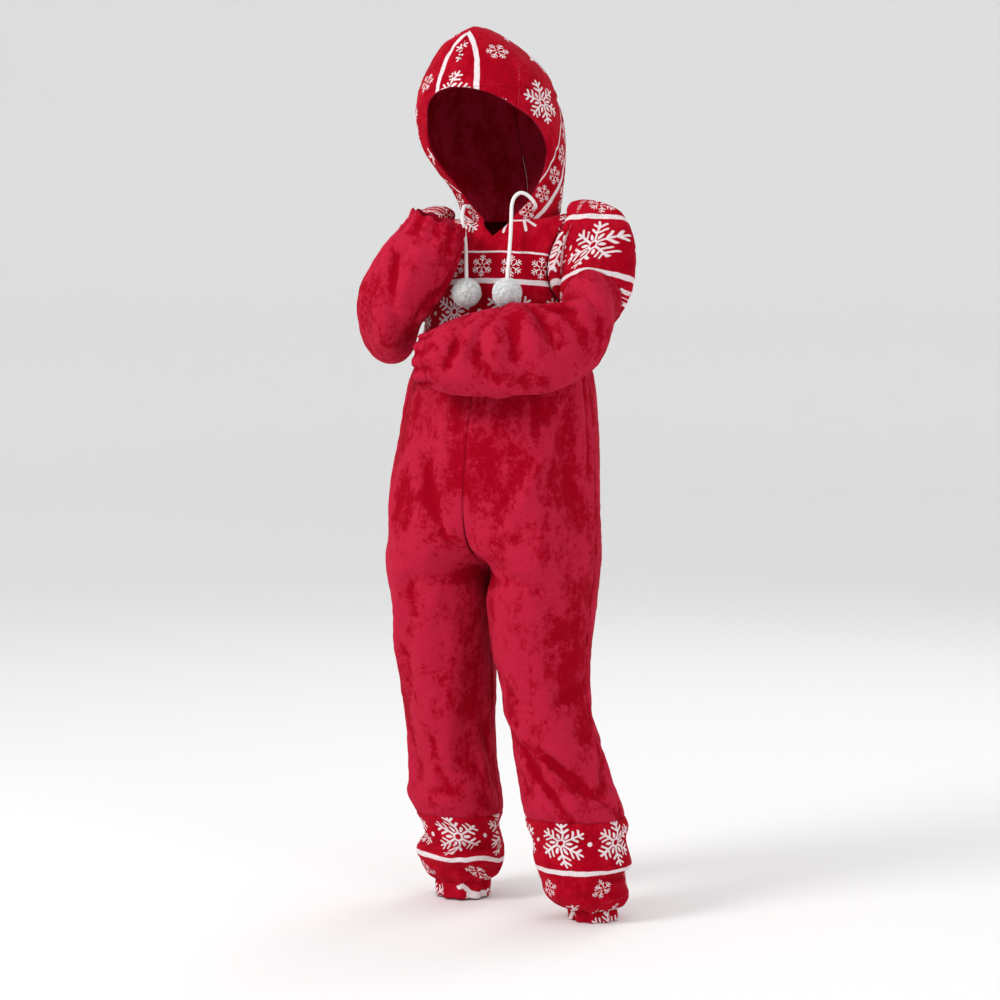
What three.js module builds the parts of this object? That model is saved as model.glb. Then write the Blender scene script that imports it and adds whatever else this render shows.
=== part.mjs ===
// A child's hooded one-piece pyjama in fleece, worn: hood up, the left arm across the waist and the
// right fist at the chin. Millimetres, +Z up, the front faces -Y and the wearer's left side is +X.
// The origin is the middle of the neck seam, where the wearer's neck holds the garment.

import * as THREE from 'three';

// Cloth and seams
const CLOTH = 2.4;             // the fleece, pile to pile
const SEAM_HALF = 0.15;        // each panel stops this far short of a seam line
const TUBE_HALF = 0.28;        // and this far at the seams round the ankles and the sleeves
const DEGREE = Math.PI / 180;

// Levels down the body
const YOKE_EDGE = -155;        // the printed yoke is sewn to the plain body here
const LEG_EDGE = { left: -742, right: -758 };  // the plain legs are sewn to the printed bands here
const NECK_FRONT = -20;        // the foot of the V at the centre front
const V_SHARE = 0.2;           // the V spans this share of a quarter turn on each side

// The trunk, one row a level. plane is the centre plane's x, y the middle of the depth, out how far
// each half's own middle stands from the plane, reach its outermost edge, front and back the depths.
const TRUNK = [
  { z: 8, plane: 0, y: 1, out: 0, reach: 55, front: 47, back: 50 },
  { z: 0, plane: 0, y: 1, out: 0, reach: 59, front: 51, back: 55 },
  { z: -10, plane: -1, y: 2, out: 0, reach: 76, front: 57, back: 62 },
  { z: -24, plane: -2, y: 3, out: 0, reach: 93, front: 64, back: 70 },
  { z: -45, plane: -4, y: 3, out: 0, reach: 101, front: 72, back: 78 },
  { z: -75, plane: -6, y: 3, out: 0, reach: 103, front: 78, back: 82 },
  { z: -110, plane: -8, y: 2, out: 0, reach: 103, front: 80, back: 83 },
  { z: -155, plane: -11, y: 0, out: 0, reach: 108, front: 80, back: 84 },
  { z: -205, plane: -16, y: 0, out: 0, reach: 120, front: 88, back: 90 },
  { z: -265, plane: -20, y: 0, out: 0, reach: 130, front: 98, back: 97 },
  { z: -335, plane: -23.5, y: 0, out: 12, reach: 136, front: 103, back: 104 },
  { z: -388, plane: -24, y: 0, out: 42, reach: 137.5, front: 104, back: 106 },
  { z: -432, plane: -24, y: 0, out: 68.4, reach: 136.4, front: 99, back: 102 },
];

// The legs carry on from the trunk, the wearer's left and right one.
const LEGS = {
  left: [
    { z: -475, plane: -25, y: -2, out: 68, reach: 133.6, front: 90, back: 92 },
    { z: -540, plane: -28, y: -8, out: 73, reach: 133, front: 74, back: 78 },
    { z: -600, plane: -28, y: -14, out: 83, reach: 137, front: 62, back: 66 },
    { z: -684, plane: -28, y: -15, out: 103, reach: 161, front: 58, back: 61 },
    { z: -753, plane: -28, y: -14, out: 122, reach: 186, front: 60, back: 61 },
    { z: -772, plane: -28, y: -14, out: 125, reach: 184, front: 55, back: 57 },
    { z: -796, plane: -28, y: -14, out: 129, reach: 190, front: 60, back: 59 },
    { z: -822, plane: -28, y: -14, out: 133, reach: 188, front: 57, back: 55 },
    { z: -840, plane: -28, y: -13, out: 136, reach: 189, front: 54, back: 51 },
    { z: -850, plane: -28, y: -13, out: 139, reach: 183, front: 44, back: 42 },
    { z: -857, plane: -28, y: -13, out: 142, reach: 174, front: 32, back: 31 },
    { z: -872, plane: -28, y: -13, out: 144, reach: 174, front: 30, back: 30 },
  ],
  right: [
    { z: -475, plane: -25, y: 4, out: 67, reach: 132.4, front: 90, back: 92 },
    { z: -540, plane: -28, y: 10, out: 66.5, reach: 129.5, front: 76, back: 80 },
    { z: -600, plane: -28, y: 16, out: 66, reach: 127, front: 66, back: 70 },
    { z: -684, plane: -28, y: 29, out: 65, reach: 121, front: 58, back: 62 },
    { z: -757, plane: -28, y: 39, out: 60, reach: 117, front: 56, back: 58 },
    { z: -776, plane: -28, y: 41, out: 59, reach: 109, front: 50, back: 52 },
    { z: -800, plane: -28, y: 43, out: 59, reach: 115, front: 57, back: 56 },
    { z: -824, plane: -28, y: 45, out: 58, reach: 112, front: 55, back: 54 },
    { z: -838, plane: -28, y: 46, out: 58, reach: 106, front: 49, back: 47 },
    { z: -847, plane: -28, y: 47, out: 58, reach: 95, front: 37, back: 36 },
    { z: -870, plane: -28, y: 47, out: 58, reach: 92, front: 34, back: 33 },
  ],
};
const HEM = { left: { top: -858, bottom: -870.5 }, right: { top: -848, bottom: -869 } };

// How much each raised shoulder lifts the cloth round the sleeve's top
const SHOULDER_LIFT = { left: 27, right: 20 };

// The armhole, as shares of a quarter turn before and behind the side line
const ARMHOLE = { top: -11, bottom: -124, front: 0.5, back: 0.4, point: 1.2 };

// Sleeves, one row a ring. out is the point on the line that runs down from the shoulder, in the one on
// the underarm line, face the way the ring looks down the sleeve, and front and back are its half sizes
// across the first two.
const SLEEVES = {
  left: [
    { out: [80, 0, 4], in: [96, 0, -124], face: [1, 0, 0], front: 48, back: 46 },
    { out: [117, -3, 23], in: [106, -9, -129], face: [0.8, -0.5, -0.3], front: 46, back: 45 },
    { out: [142, -8, 2], in: [106, -25, -130], face: [0.5, -0.75, -0.4], front: 45, back: 40 },
    { out: [151, -17, -38], in: [103, -39, -128], face: [0.25, -0.85, -0.45], front: 45, back: 34 },
    { out: [152, -30, -84], in: [97, -55, -124], face: [0.05, -0.85, -0.52], front: 42, back: 30 },
    { out: [148, -42, -132], in: [88, -69, -118], face: [-0.1, -0.82, -0.56], front: 42, back: 29 },
    { out: [133, -62, -180], in: [76, -82, -110], face: [-0.4, -0.78, -0.45], front: 41, back: 30 },
    { out: [96, -94, -206], in: [58, -98, -106], face: [-0.75, -0.65, -0.1], front: 39, back: 31 },
    { out: [52, -117, -213], in: [40, -113, -109], face: [-0.93, -0.35, 0], front: 38, back: 34 },
    { out: [11, -129, -214], in: [9, -124, -115], face: [-1, -0.14, 0], front: 38, back: 35 },
    { out: [-24, -134, -212], in: [-25, -131, -126], face: [-1, -0.05, 0], front: 36, back: 34 },
    { out: [-46, -134, -205], in: [-46, -134, -138], face: [-1, 0, 0], front: 31, back: 30 },
    { out: [-63, -133, -205], in: [-62, -133, -143], face: [-1, 0, 0], front: 28, back: 28 },
  ],
  right: [
    { out: [-82, 0, 2], in: [-113, 0, -124], face: [-1, 0, 0], front: 48, back: 46 },
    { out: [-122, -6, 17], in: [-125, -9, -129], face: [-0.8, -0.5, -0.3], front: 42, back: 45 },
    { out: [-147, -16, -12], in: [-126, -25, -131], face: [-0.4, -0.75, -0.5], front: 38, back: 42 },
    { out: [-157, -34, -48], in: [-123, -41, -128], face: [-0.1, -0.8, -0.6], front: 33, back: 41 },
    { out: [-162, -54, -80], in: [-117, -57, -124], face: [0, -0.82, -0.57], front: 26, back: 43 },
    { out: [-164, -73, -104], in: [-106, -75, -120], face: [0, -0.9, -0.45], front: 19, back: 48 },
    { out: [-162, -93, -118], in: [-87, -93, -120], face: [0, -1, -0.05], front: 16, back: 52 },
    { out: [-150, -111, -94], in: [-64, -111, -110], face: [0.15, -0.5, 0.85], front: 19, back: 47 },
    { out: [-127, -115, -55], in: [-47, -115, -94], face: [0.42, 0, 0.9], front: 28, back: 39 },
    { out: [-109, -114, -26], in: [-31, -114, -62], face: [0.42, 0, 0.9], front: 31, back: 36 },
    { out: [-89, -111, -3], in: [-23, -111, -30], face: [0.42, 0, 0.9], front: 28, back: 30 },
    { out: [-82, -109, 11], in: [-22, -109, -13], face: [0.42, 0, 0.9], front: 26, back: 27 },
  ],
};
// Where each sleeve's print ends and its cuff starts, in rows of its table
const SLEEVE_SEAMS = { left: { print: 4, cuff: 11, end: 12 }, right: { print: 3.6, cuff: 10, end: 11 } };
const BLEND_ROWS = 1.6;        // the sleeve rounds from the armhole into its own rings over these rows
const CAP_BULGE = 15;          // how far the sleeve stands out between the seam and its rings, at most
const CAP_SHARE = 0.6;         // and as a share of the way to the first of them

// Hood sections, one row a level, with the angles of the face opening on each side
const HOOD = [
  { z: 0, x: 0, y: 1, side: 59, front: 51, back: 55, left: 18, right: 18 },
  { z: 18, x: -3, y: 3, side: 62, front: 52, back: 62, left: 36, right: 32 },
  { z: 38, x: -8, y: 6, side: 68, front: 58, back: 70, left: 50, right: 42 },
  { z: 62, x: -17, y: 9, side: 77, front: 72, back: 84, left: 63, right: 46 },
  { z: 90, x: -27, y: 10, side: 87, front: 86, back: 94, left: 69, right: 42 },
  { z: 120, x: -33, y: 10, side: 90, front: 92, back: 96, left: 59, right: 36 },
  { z: 140, x: -36, y: 10, side: 88, front: 90, back: 93, left: 41, right: 33 },
  { z: 152, x: -38, y: 11, side: 85, front: 87, back: 88, left: 27, right: 27 },
  { z: 159, x: -37, y: 11, side: 85, front: 84, back: 85, left: 8, right: 18 },
  { z: 161, x: -38, y: 11, side: 84, front: 83, back: 84, left: -10, right: 10 },
  { z: 178, x: -39, y: 12, side: 78, front: 74, back: 76, left: -10, right: 10 },
  { z: 202, x: -43, y: 12, side: 62, front: 58, back: 61, left: -10, right: 10 },
  { z: 222, x: -49, y: 12, side: 41, front: 41, back: 43, left: -10, right: 10 },
  { z: 235, x: -50, y: 12, side: 20, front: 27, back: 27, left: -10, right: 10 },
  { z: 241, x: -50, y: 12, side: 3, front: 14, back: 14, left: -10, right: 10 },
];

const FOREHEAD = 160.5;        // above this level the two halves meet in a seam over the head
const HOOD_TOP = 240.5;
const SEAM_TURN = 10;          // that seam starts this many degrees to the wearer's right
const ARM_GAP = 0.9;           // between the yokes and the sleeves
const NECK_GAP = 1.8;          // the hood's lower edge over the neck seam
const HOOD_SETTLE = 14;        // the hood leaves the neck seam's line over this height

// Folds that show from a step away. A row runs from one place to another in (share, z), where share 0
// is the centre front, 1 the side line and 2 the centre back. A height above 0 is a ridge.
const BODY_FOLDS = {
  left: [
    { from: [0.3, -250], to: [0.55, -420], wide: 20, high: 6 },
    { from: [0.62, -230], to: [0.8, -400], wide: 18, high: -6 },
    { from: [0.1, -425], to: [0.62, -450], wide: 16, high: -7 },
    { from: [0.35, -470], to: [0.5, -640], wide: 20, high: 6 },
    { from: [0.75, -520], to: [0.95, -700], wide: 18, high: -6 },
    { from: [0.2, -640], to: [0.75, -690], wide: 15, high: -5 },
    { from: [0.3, -728], to: [1.0, -716], wide: 12, high: 5 },
    { from: [0.55, -838], to: [1.15, -826], wide: 8, high: -6 },
    { from: [0.8, -806], to: [1.3, -812], wide: 8, high: -4 },
    { from: [1.15, -620], to: [1.7, -590], wide: 16, high: -6 },
    { from: [1.3, -440], to: [1.9, -415], wide: 18, high: -7 },
    { from: [1.25, -200], to: [1.5, -380], wide: 22, high: 6 },
    { from: [1.7, -60], to: [1.55, -230], wide: 18, high: -5 },
  ],
  right: [
    { from: [0.35, -200], to: [0.5, -380], wide: 20, high: 6 },
    { from: [0.7, -190], to: [0.82, -390], wide: 18, high: -6 },
    { from: [0.1, -430], to: [0.55, -455], wide: 16, high: -6 },
    { from: [0.45, -460], to: [0.5, -700], wide: 20, high: 5 },
    { from: [0.85, -560], to: [0.65, -720], wide: 18, high: -6 },
    { from: [0.15, -560], to: [0.3, -690], wide: 16, high: -5 },
    { from: [0.4, -738], to: [1.1, -728], wide: 12, high: 5 },
    { from: [0.15, -800], to: [0.95, -788], wide: 8, high: -6 },
    { from: [0.0, -832], to: [0.6, -826], wide: 8, high: -5 },
    { from: [1.2, -610], to: [1.75, -635], wide: 16, high: -6 },
    { from: [1.35, -455], to: [1.9, -425], wide: 18, high: -7 },
    { from: [1.3, -230], to: [1.45, -400], wide: 22, high: 6 },
    { from: [1.72, -70], to: [1.6, -240], wide: 18, high: -5 },
  ],
};
const SHARE_LENGTH = 150;      // millimetres of cloth in one share, near enough for a fold's width

// Sleeve folds in (turn, row): turn in degrees round the ring, row along the sleeve's table. They are
// laid on the cloth's inner face, so a height above 0 is a trough.
const SLEEVE_FOLDS = {
  left: [
    { from: [10, 1.6], to: [60, 3.2], wide: 13, high: 4 },
    { from: [25, 2.4], to: [80, 4.4], wide: 12, high: -4 },
    { from: [50, 5.0], to: [120, 5.6], wide: 12, high: -6 },
    { from: [30, 6.0], to: [125, 6.2], wide: 12, high: 5 },
    { from: [40, 7.0], to: [130, 7.4], wide: 12, high: -5 },
    { from: [30, 7.6], to: [95, 9.6], wide: 12, high: 5 },
    { from: [95, 8.2], to: [140, 10.2], wide: 11, high: -5 },
    { from: [290, 3.0], to: [320, 5.2], wide: 12, high: -4 },
    { from: [340, 6.6], to: [310, 9.0], wide: 12, high: 4 },
  ],
  right: [
    { from: [340, 1.4], to: [310, 3.0], wide: 13, high: 4 },
    { from: [250, 3.8], to: [330, 4.4], wide: 12, high: -5 },
    { from: [225, 5.8], to: [330, 6.0], wide: 13, high: -5 },
    { from: [300, 6.6], to: [290, 8.6], wide: 12, high: 6 },
    { from: [250, 6.8], to: [262, 9.1], wide: 11, high: -5 },
    { from: [345, 7.0], to: [330, 9.0], wide: 11, high: -5 },
    { from: [205, 7.2], to: [215, 9.0], wide: 11, high: 4 },
  ],
};
const TURN_LENGTH = 0.75;      // millimetres of cloth in a degree round a sleeve
const ROW_LENGTH = 32;         // and in one row along it

// Gathers: how many waves the elastic draws up round each end, and how deep they are
const CUFF_GATHERS = { waves: 10, deep: 1.7, fade_rows: 0.9 };
const HEM_GATHERS = { waves: 10, deep: 2.0, fade: 26 };

// Drawstring: its route on each side and the pompoms on its ends
const CORD_WIDTH = 4.6;
const POMPOM = { radius: 15.5, locks_stand: 3.4, lock_inset: 0.3, under_cord: 0.4 };
const LEFT_CORD = [
  [44, -34.5, 14.2], [47, -38.1, 15], [48, -42.5, 18.5], [45, -47.5, 25], [40, -51.5, 30],
  [34, -55.5, 31.8], [28.6, -59.5, 27.5], [26.2, -63.5, 18.5], [26.6, -67, 7], [27.6, -70.5, -6],
  [28.6, -75, -22], [30, -81.5, -38], [31.8, -89, -53], [33, -95.5, -65.5], [33.4, -98, -74.5],
];
const RIGHT_CORD = [
  [-39.6, -42.5, 16.5], [-41.6, -46.1, 17.3], [-42.6, -50, 16.8], [-42.6, -54, 13], [-41.8, -59, 6],
  [-39.6, -63, -3], [-36.2, -67, -14], [-32.4, -72, -26], [-28.6, -79, -39], [-25, -87, -52],
  [-21.8, -94, -65], [-20.4, -97, -74.5],
];

const RED = 0xbe1030;
const PRINT_RED = 0xc4122f;
const WHITE = 0xf2eeee;

// Reads a table between its rows: a smooth curve through the named column.
function between(table, key, column, at) {
  const down = table[0][key] > table[table.length - 1][key] ? -1 : 1;
  let i = 0;
  while (i < table.length - 2 && (at - table[i + 1][key]) * down > 0) i += 1;
  const slope = (n) => {
    const a = table[Math.max(0, n - 1)];
    const b = table[Math.min(table.length - 1, n + 1)];
    return (b[column] - a[column]) / (b[key] - a[key]);
  };
  const [p, q] = [table[i], table[i + 1]];
  const span = q[key] - p[key];
  const t = THREE.MathUtils.clamp((at - p[key]) / span, 0, 1);
  const [t2, t3] = [t * t, t * t * t];
  return (2 * t3 - 3 * t2 + 1) * p[column] + (t3 - 2 * t2 + t) * span * slope(i)
    + (3 * t2 - 2 * t3) * q[column] + (t3 - t2) * span * slope(i + 1);
}

function readRow(table, key, at) {
  const row = {};
  for (const column of Object.keys(table[0])) {
    row[column] = column === key ? at : between(table, key, column, at);
  }
  return row;
}

const smoothstep = (low, high, value) => THREE.MathUtils.smoothstep(value, low, high);

// Height of all folds at a place, where a and b are lengths of cloth across and along
function foldHeight(folds, a, b, acrossLength, alongLength) {
  let height = 0;
  for (const fold of folds) {
    const from = new THREE.Vector2(fold.from[0] * acrossLength, fold.from[1] * alongLength);
    const to = new THREE.Vector2(fold.to[0] * acrossLength, fold.to[1] * alongLength);
    const here = new THREE.Vector2(a * acrossLength, b * alongLength).sub(from);
    const line = to.sub(from);
    const t = THREE.MathUtils.clamp(here.dot(line) / line.lengthSq(), 0, 1);
    const away = here.sub(line.multiplyScalar(t)).length() / fold.wide;
    height += fold.high * Math.exp(-away * away) * (0.35 + 0.65 * Math.sin(Math.PI * (0.15 + 0.7 * t)));
  }
  return height;
}

// A surface's outward normal, from two small steps on it
function normalOf(surface, a, b, stepA, stepB, outward) {
  const alongA = surface(a + stepA, b).sub(surface(a - stepA, b));
  const alongB = surface(a, b + stepB).sub(surface(a, b - stepB));
  return alongA.cross(alongB).normalize().multiplyScalar(outward);
}

const BODY_TABLES = {
  left: TRUNK.concat(LEGS.left),
  right: TRUNK.concat(LEGS.right),
};
const SIDE = { left: 1, right: -1 };
const CROTCH = TRUNK[TRUNK.length - 1].z;

// The body's plain form at a share round one half and a level
function bodyForm(name, share, z) {
  const row = readRow(BODY_TABLES[name], 'z', z);
  const radius = row.reach - row.out;
  const end = Math.acos(Math.max(-1, -row.out / radius));
  const turn = end * (1 - share);
  const depth = turn > 0 ? row.front : row.back;
  const onSide = Math.sin(Math.min(share, 2 - share) * Math.PI / 2) ** 2;
  const onShoulder = smoothstep(50, 92, row.reach) * smoothstep(-125, -30, z);
  const lift = SHOULDER_LIFT[name] * onSide * onShoulder;
  return new THREE.Vector3(
    row.plane + SIDE[name] * (SEAM_HALF + row.out + radius * Math.cos(turn)),
    row.y - depth * Math.sin(turn),
    z + lift,
  );
}

function gatherHeight(name, share, z) {
  const hem = HEM[name];
  const near = 1 - smoothstep(hem.top, hem.top + HEM_GATHERS.fade, z);
  const turn = Math.PI * (1 - share);
  return near * HEM_GATHERS.deep * Math.cos(HEM_GATHERS.waves * turn);
}

// The body with its folds; they fade out at the centre seams above the crotch
function bodyPoint(name, share, z) {
  const form = (a, b) => bodyForm(name, a, b);
  const inside = THREE.MathUtils.clamp(share, 0.004, 1.996);
  const normal = normalOf(form, inside, z, 0.004, 1, SIDE[name]);
  const fromSeam = smoothstep(0, 0.16, Math.min(share, 2 - share));
  const fade = z > CROTCH - 30 ? fromSeam : 1;
  const height = fade * foldHeight(BODY_FOLDS[name], share, z, SHARE_LENGTH, 1)
    + gatherHeight(name, share, z);
  return bodyForm(name, share, z).addScaledVector(normal, height);
}

// Its outward normal, the same on both sides of a seam
function bodyNormal(name, share, z) {
  const inside = THREE.MathUtils.clamp(share, 0.006, 1.994);
  const level = [YOKE_EDGE, LEG_EDGE[name], HEM[name].top].find((seam) => Math.abs(seam - z) < 0.5) ?? z;
  const normal = normalOf((a, b) => bodyPoint(name, a, b), inside, level, 0.004, 1, SIDE[name]);
  const onCenter = share < 0.02 || share > 1.98;
  if (onCenter && z > CROTCH) normal.x = SIDE[name] * Math.min(normal.x * SIDE[name], -0.02);
  return normal.normalize();
}

// The armhole's place on the body at a turn round it: 0 is the shoulder, 90 the front
function armholePlace(turn) {
  const middle = (ARMHOLE.top + ARMHOLE.bottom) / 2;
  const half = (ARMHOLE.top - ARMHOLE.bottom) / 2;
  const sine = Math.sin(turn * DEGREE);
  const width = Math.abs(sine) ** ARMHOLE.point;
  const share = sine >= 0 ? 1 - ARMHOLE.front * width : 1 + ARMHOLE.back * width;
  return { share, z: middle + half * Math.cos(turn * DEGREE) };
}

// How far a yoke reaches round at a level, as a share from its centre line. It stops a seam's gap
// before the armhole on every side.
const ARM_MIDDLE = (ARMHOLE.top + ARMHOLE.bottom) / 2;
const ARM_HALF = (ARMHOLE.top - ARMHOLE.bottom) / 2 + ARM_GAP;

function yokeEdge(z, opening) {
  const along = (z - ARM_MIDDLE) / ARM_HALF;
  if (Math.abs(along) >= 1) return 1 - SEAM_HALF / SHARE_LENGTH;
  const width = opening + ARM_GAP / SHARE_LENGTH;
  return 1 - SEAM_HALF / SHARE_LENGTH - width * Math.sqrt(1 - along * along) ** ARMHOLE.point;
}

// The neck seam's level at a share: a V in front, a little higher behind
function neckLevel(share) {
  if (share < V_SHARE) return NECK_FRONT * (1 - share / V_SHARE);
  return 3 * smoothstep(1, 2, share);
}

// A wall of cloth from one face, grid[row][column], to a second one that stands off it against the
// normals. It is closed round or has two side edges.
function clothWall(grid, normals, closed) {
  const rows = grid.length;
  const columns = grid[0].length;
  const positions = [];
  const layer = rows * columns;
  for (const row of grid) for (const p of row) positions.push(p.x, p.y, p.z);
  for (let r = 0; r < rows; r += 1) {
    for (let c = 0; c < columns; c += 1) {
      const p = grid[r][c].clone().addScaledVector(normals[r][c], -CLOTH);
      positions.push(p.x, p.y, p.z);
    }
  }
  const faces = [];
  const quad = (a, b, c, d) => faces.push([a, b, c], [a, c, d]);
  const at = (r, c) => r * columns + (closed ? c % columns : c);
  const strips = closed ? columns : columns - 1;
  for (let r = 0; r < rows - 1; r += 1) {
    for (let c = 0; c < strips; c += 1) {
      quad(at(r, c), at(r + 1, c), at(r + 1, c + 1), at(r, c + 1));
      quad(layer + at(r, c), layer + at(r, c + 1), layer + at(r + 1, c + 1), layer + at(r + 1, c));
    }
  }
  for (let c = 0; c < strips; c += 1) {
    const last = rows - 1;
    quad(at(0, c), at(0, c + 1), layer + at(0, c + 1), layer + at(0, c));
    quad(at(last, c + 1), at(last, c), layer + at(last, c), layer + at(last, c + 1));
  }
  if (!closed) {
    for (let r = 0; r < rows - 1; r += 1) {
      const last = columns - 1;
      quad(at(r + 1, 0), at(r, 0), layer + at(r, 0), layer + at(r + 1, 0));
      quad(at(r, last), at(r + 1, last), layer + at(r + 1, last), layer + at(r, last));
    }
  }
  return closedGeometry(positions, faces);
}

// Builds the geometry and turns every face outward
function closedGeometry(positions, faces) {
  const corner = (i) => new THREE.Vector3().fromArray(positions, i * 3);
  let volume = 0;
  for (const [a, b, c] of faces) volume += corner(a).dot(corner(b).cross(corner(c)));
  const index = faces.flatMap(([a, b, c]) => (volume > 0 ? [a, b, c] : [a, c, b]));
  const geometry = new THREE.BufferGeometry();
  geometry.setAttribute('position', new THREE.Float32BufferAttribute(positions, 3));
  geometry.setIndex(index);
  geometry.computeVertexNormals();
  return geometry;
}

const garment = new THREE.Group();

function addPiece(name, geometry, color, roughness = 0.9) {
  const material = new THREE.MeshStandardMaterial({ color, roughness, metalness: 0 });
  const mesh = new THREE.Mesh(geometry, material);
  mesh.name = name;
  garment.add(mesh);
}

// Even steps from one value to another, both ends counted
function steps(count, from, to) {
  return Array.from({ length: count + 1 }, (_, i) => from + (to - from) * i / count);
}

// Turns round half an armhole, shared by the yokes' rows and the sleeves' first rings
const SLEEVE_AROUND = 30;
const armholeTurns = steps(SLEEVE_AROUND / 2, 0, 180);

// A printed yoke over both shoulders' one face, front or back
function yoke(isFront) {
  const opening = isFront ? ARMHOLE.front : ARMHOLE.back;
  const levels = [ARMHOLE.top / 2,
    ...armholeTurns.map((turn) => ARM_MIDDLE + ARM_HALF * Math.cos(turn * DEGREE))];
  const bottom = YOKE_EDGE + SEAM_HALF;
  const across = steps(16, -1, 1);
  if (isFront) across.splice(7, 3, -V_SHARE, -V_SHARE / 2, 0, V_SHARE / 2, V_SHARE);
  const grid = [];
  const normals = [];
  for (const level of [0, ...levels, bottom]) {
    const line = [];
    const lineNormals = [];
    for (const place of across) {
      const name = place < 0 ? 'right' : 'left';
      const away = Math.abs(place);
      const seam = neckLevel(isFront ? away : 2 - away) - SEAM_HALF;
      const z = seam + (bottom - seam) * (level / bottom);
      const edge = yokeEdge(z, opening);
      const share = isFront ? away * edge : 2 - away * edge;
      line.push(bodyPoint(name, share, z));
      lineNormals.push(bodyNormal(name, share, z));
    }
    grid.push(line);
    normals.push(lineNormals);
  }
  return clothWall(grid, normals, false);
}

// One plain body and leg panel, from the yoke to the leg band
function bodyPanel(name, isFront) {
  const levels = [...steps(5, YOKE_EDGE - SEAM_HALF, -335), ...steps(4, -360, CROTCH - 3),
    ...steps(8, CROTCH - 30, LEG_EDGE[name] + TUBE_HALF)];
  const grid = [];
  const normals = [];
  for (const z of levels) {
    const line = [];
    const lineNormals = [];
    for (const step of steps(8, 0, 1)) {
      const row = readRow(BODY_TABLES[name], 'z', z);
      const trim = SEAM_HALF / (row.reach * 1.3);
      const part = THREE.MathUtils.lerp(trim * 1.6, 1 - trim, step);
      const share = isFront ? part : 2 - part;
      line.push(bodyPoint(name, share, z));
      lineNormals.push(bodyNormal(name, share, z));
    }
    grid.push(line);
    normals.push(lineNormals);
  }
  return clothWall(grid, normals, false);
}

// A ring-shaped piece round one leg, between two levels
const LEG_AROUND = 30;

function legRing(name, top, bottom, rows) {
  const grid = [];
  const normals = [];
  for (const z of steps(rows, top, bottom)) {
    const line = [];
    const lineNormals = [];
    for (let i = 0; i < LEG_AROUND; i += 1) {
      const share = 2 * i / LEG_AROUND;
      line.push(bodyPoint(name, share, z));
      lineNormals.push(bodyNormal(name, share, z));
    }
    grid.push(line);
    normals.push(lineNormals);
  }
  return clothWall(grid, normals, true);
}

// The sleeves' rows with each point split into its columns
const SLEEVE_TABLES = {};
for (const name of Object.keys(SLEEVES)) {
  SLEEVE_TABLES[name] = SLEEVES[name].map((row, at) => {
    const flat = { at, front: row.front, back: row.back };
    for (const column of ['out', 'in', 'face']) {
      row[column].forEach((value, axis) => { flat[column + axis] = value; });
    }
    return flat;
  });
}

// A sleeve's own ring at a turn and a row, before it is rounded into the armhole
function sleeveRing(name, turn, at) {
  const table = SLEEVE_TABLES[name];
  const read = (column) => {
    const parts = [0, 1, 2].map((axis) => between(table, 'at', column + axis, at));
    return new THREE.Vector3(...parts);
  };
  const [outside, inside, face] = [read('out'), read('in'), read('face')];
  const middle = outside.clone().add(inside).multiplyScalar(0.5);
  const half = outside.sub(inside).multiplyScalar(0.5);
  const out = half.clone().normalize();
  face.addScaledVector(out, -out.dot(face)).normalize();
  const front = face.cross(out).multiplyScalar(SIDE[name]);
  const [cosine, sine] = [Math.cos(turn * DEGREE), Math.sin(turn * DEGREE)];
  const across = between(table, 'at', sine > 0 ? 'front' : 'back', at);
  return middle.addScaledVector(half, cosine).addScaledVector(front, sine * across);
}

// The sleeve's inner face without folds: it leaves the armhole's seam and swells into its own rings
function sleeveForm(name, turn, at) {
  const ring = sleeveRing(name, turn, Math.max(at, 0));
  if (at >= BLEND_ROWS) return ring;
  const place = armholePlace(turn);
  const part = smoothstep(0, BLEND_ROWS, at) * 0.5 + Math.max(at, 0) / BLEND_ROWS * 0.5;
  const seam = bodyPoint(name, place.share, place.z);
  const far = CAP_SHARE * seam.distanceTo(sleeveRing(name, turn, BLEND_ROWS));
  const bulge = Math.min(CAP_BULGE, far) * 4 * part * (1 - part);
  return seam.addScaledVector(bodyNormal(name, place.share, place.z), bulge).lerp(ring, part);
}

// The same with its folds and the gathers of its cuff. The cloth's wall stands outside this face.
function sleevePoint(name, turn, at) {
  const form = (a, b) => sleeveForm(name, a, Math.max(b, 0));
  const fade = smoothstep(0, 1, at);
  if (fade === 0) return form(turn, at);
  const normal = normalOf(form, turn, at, 1, 0.03, -SIDE[name]);
  let height = 0;
  for (const around of [turn, turn + 360, turn - 360]) {
    height += foldHeight(SLEEVE_FOLDS[name], around, at, TURN_LENGTH, ROW_LENGTH);
  }
  const { cuff } = SLEEVE_SEAMS[name];
  const near = smoothstep(cuff - CUFF_GATHERS.fade_rows, cuff, at);
  height = height * (1 - near) + near * CUFF_GATHERS.deep * Math.cos(CUFF_GATHERS.waves * turn * DEGREE);
  return form(turn, at).addScaledVector(normal, fade * height);
}

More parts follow.
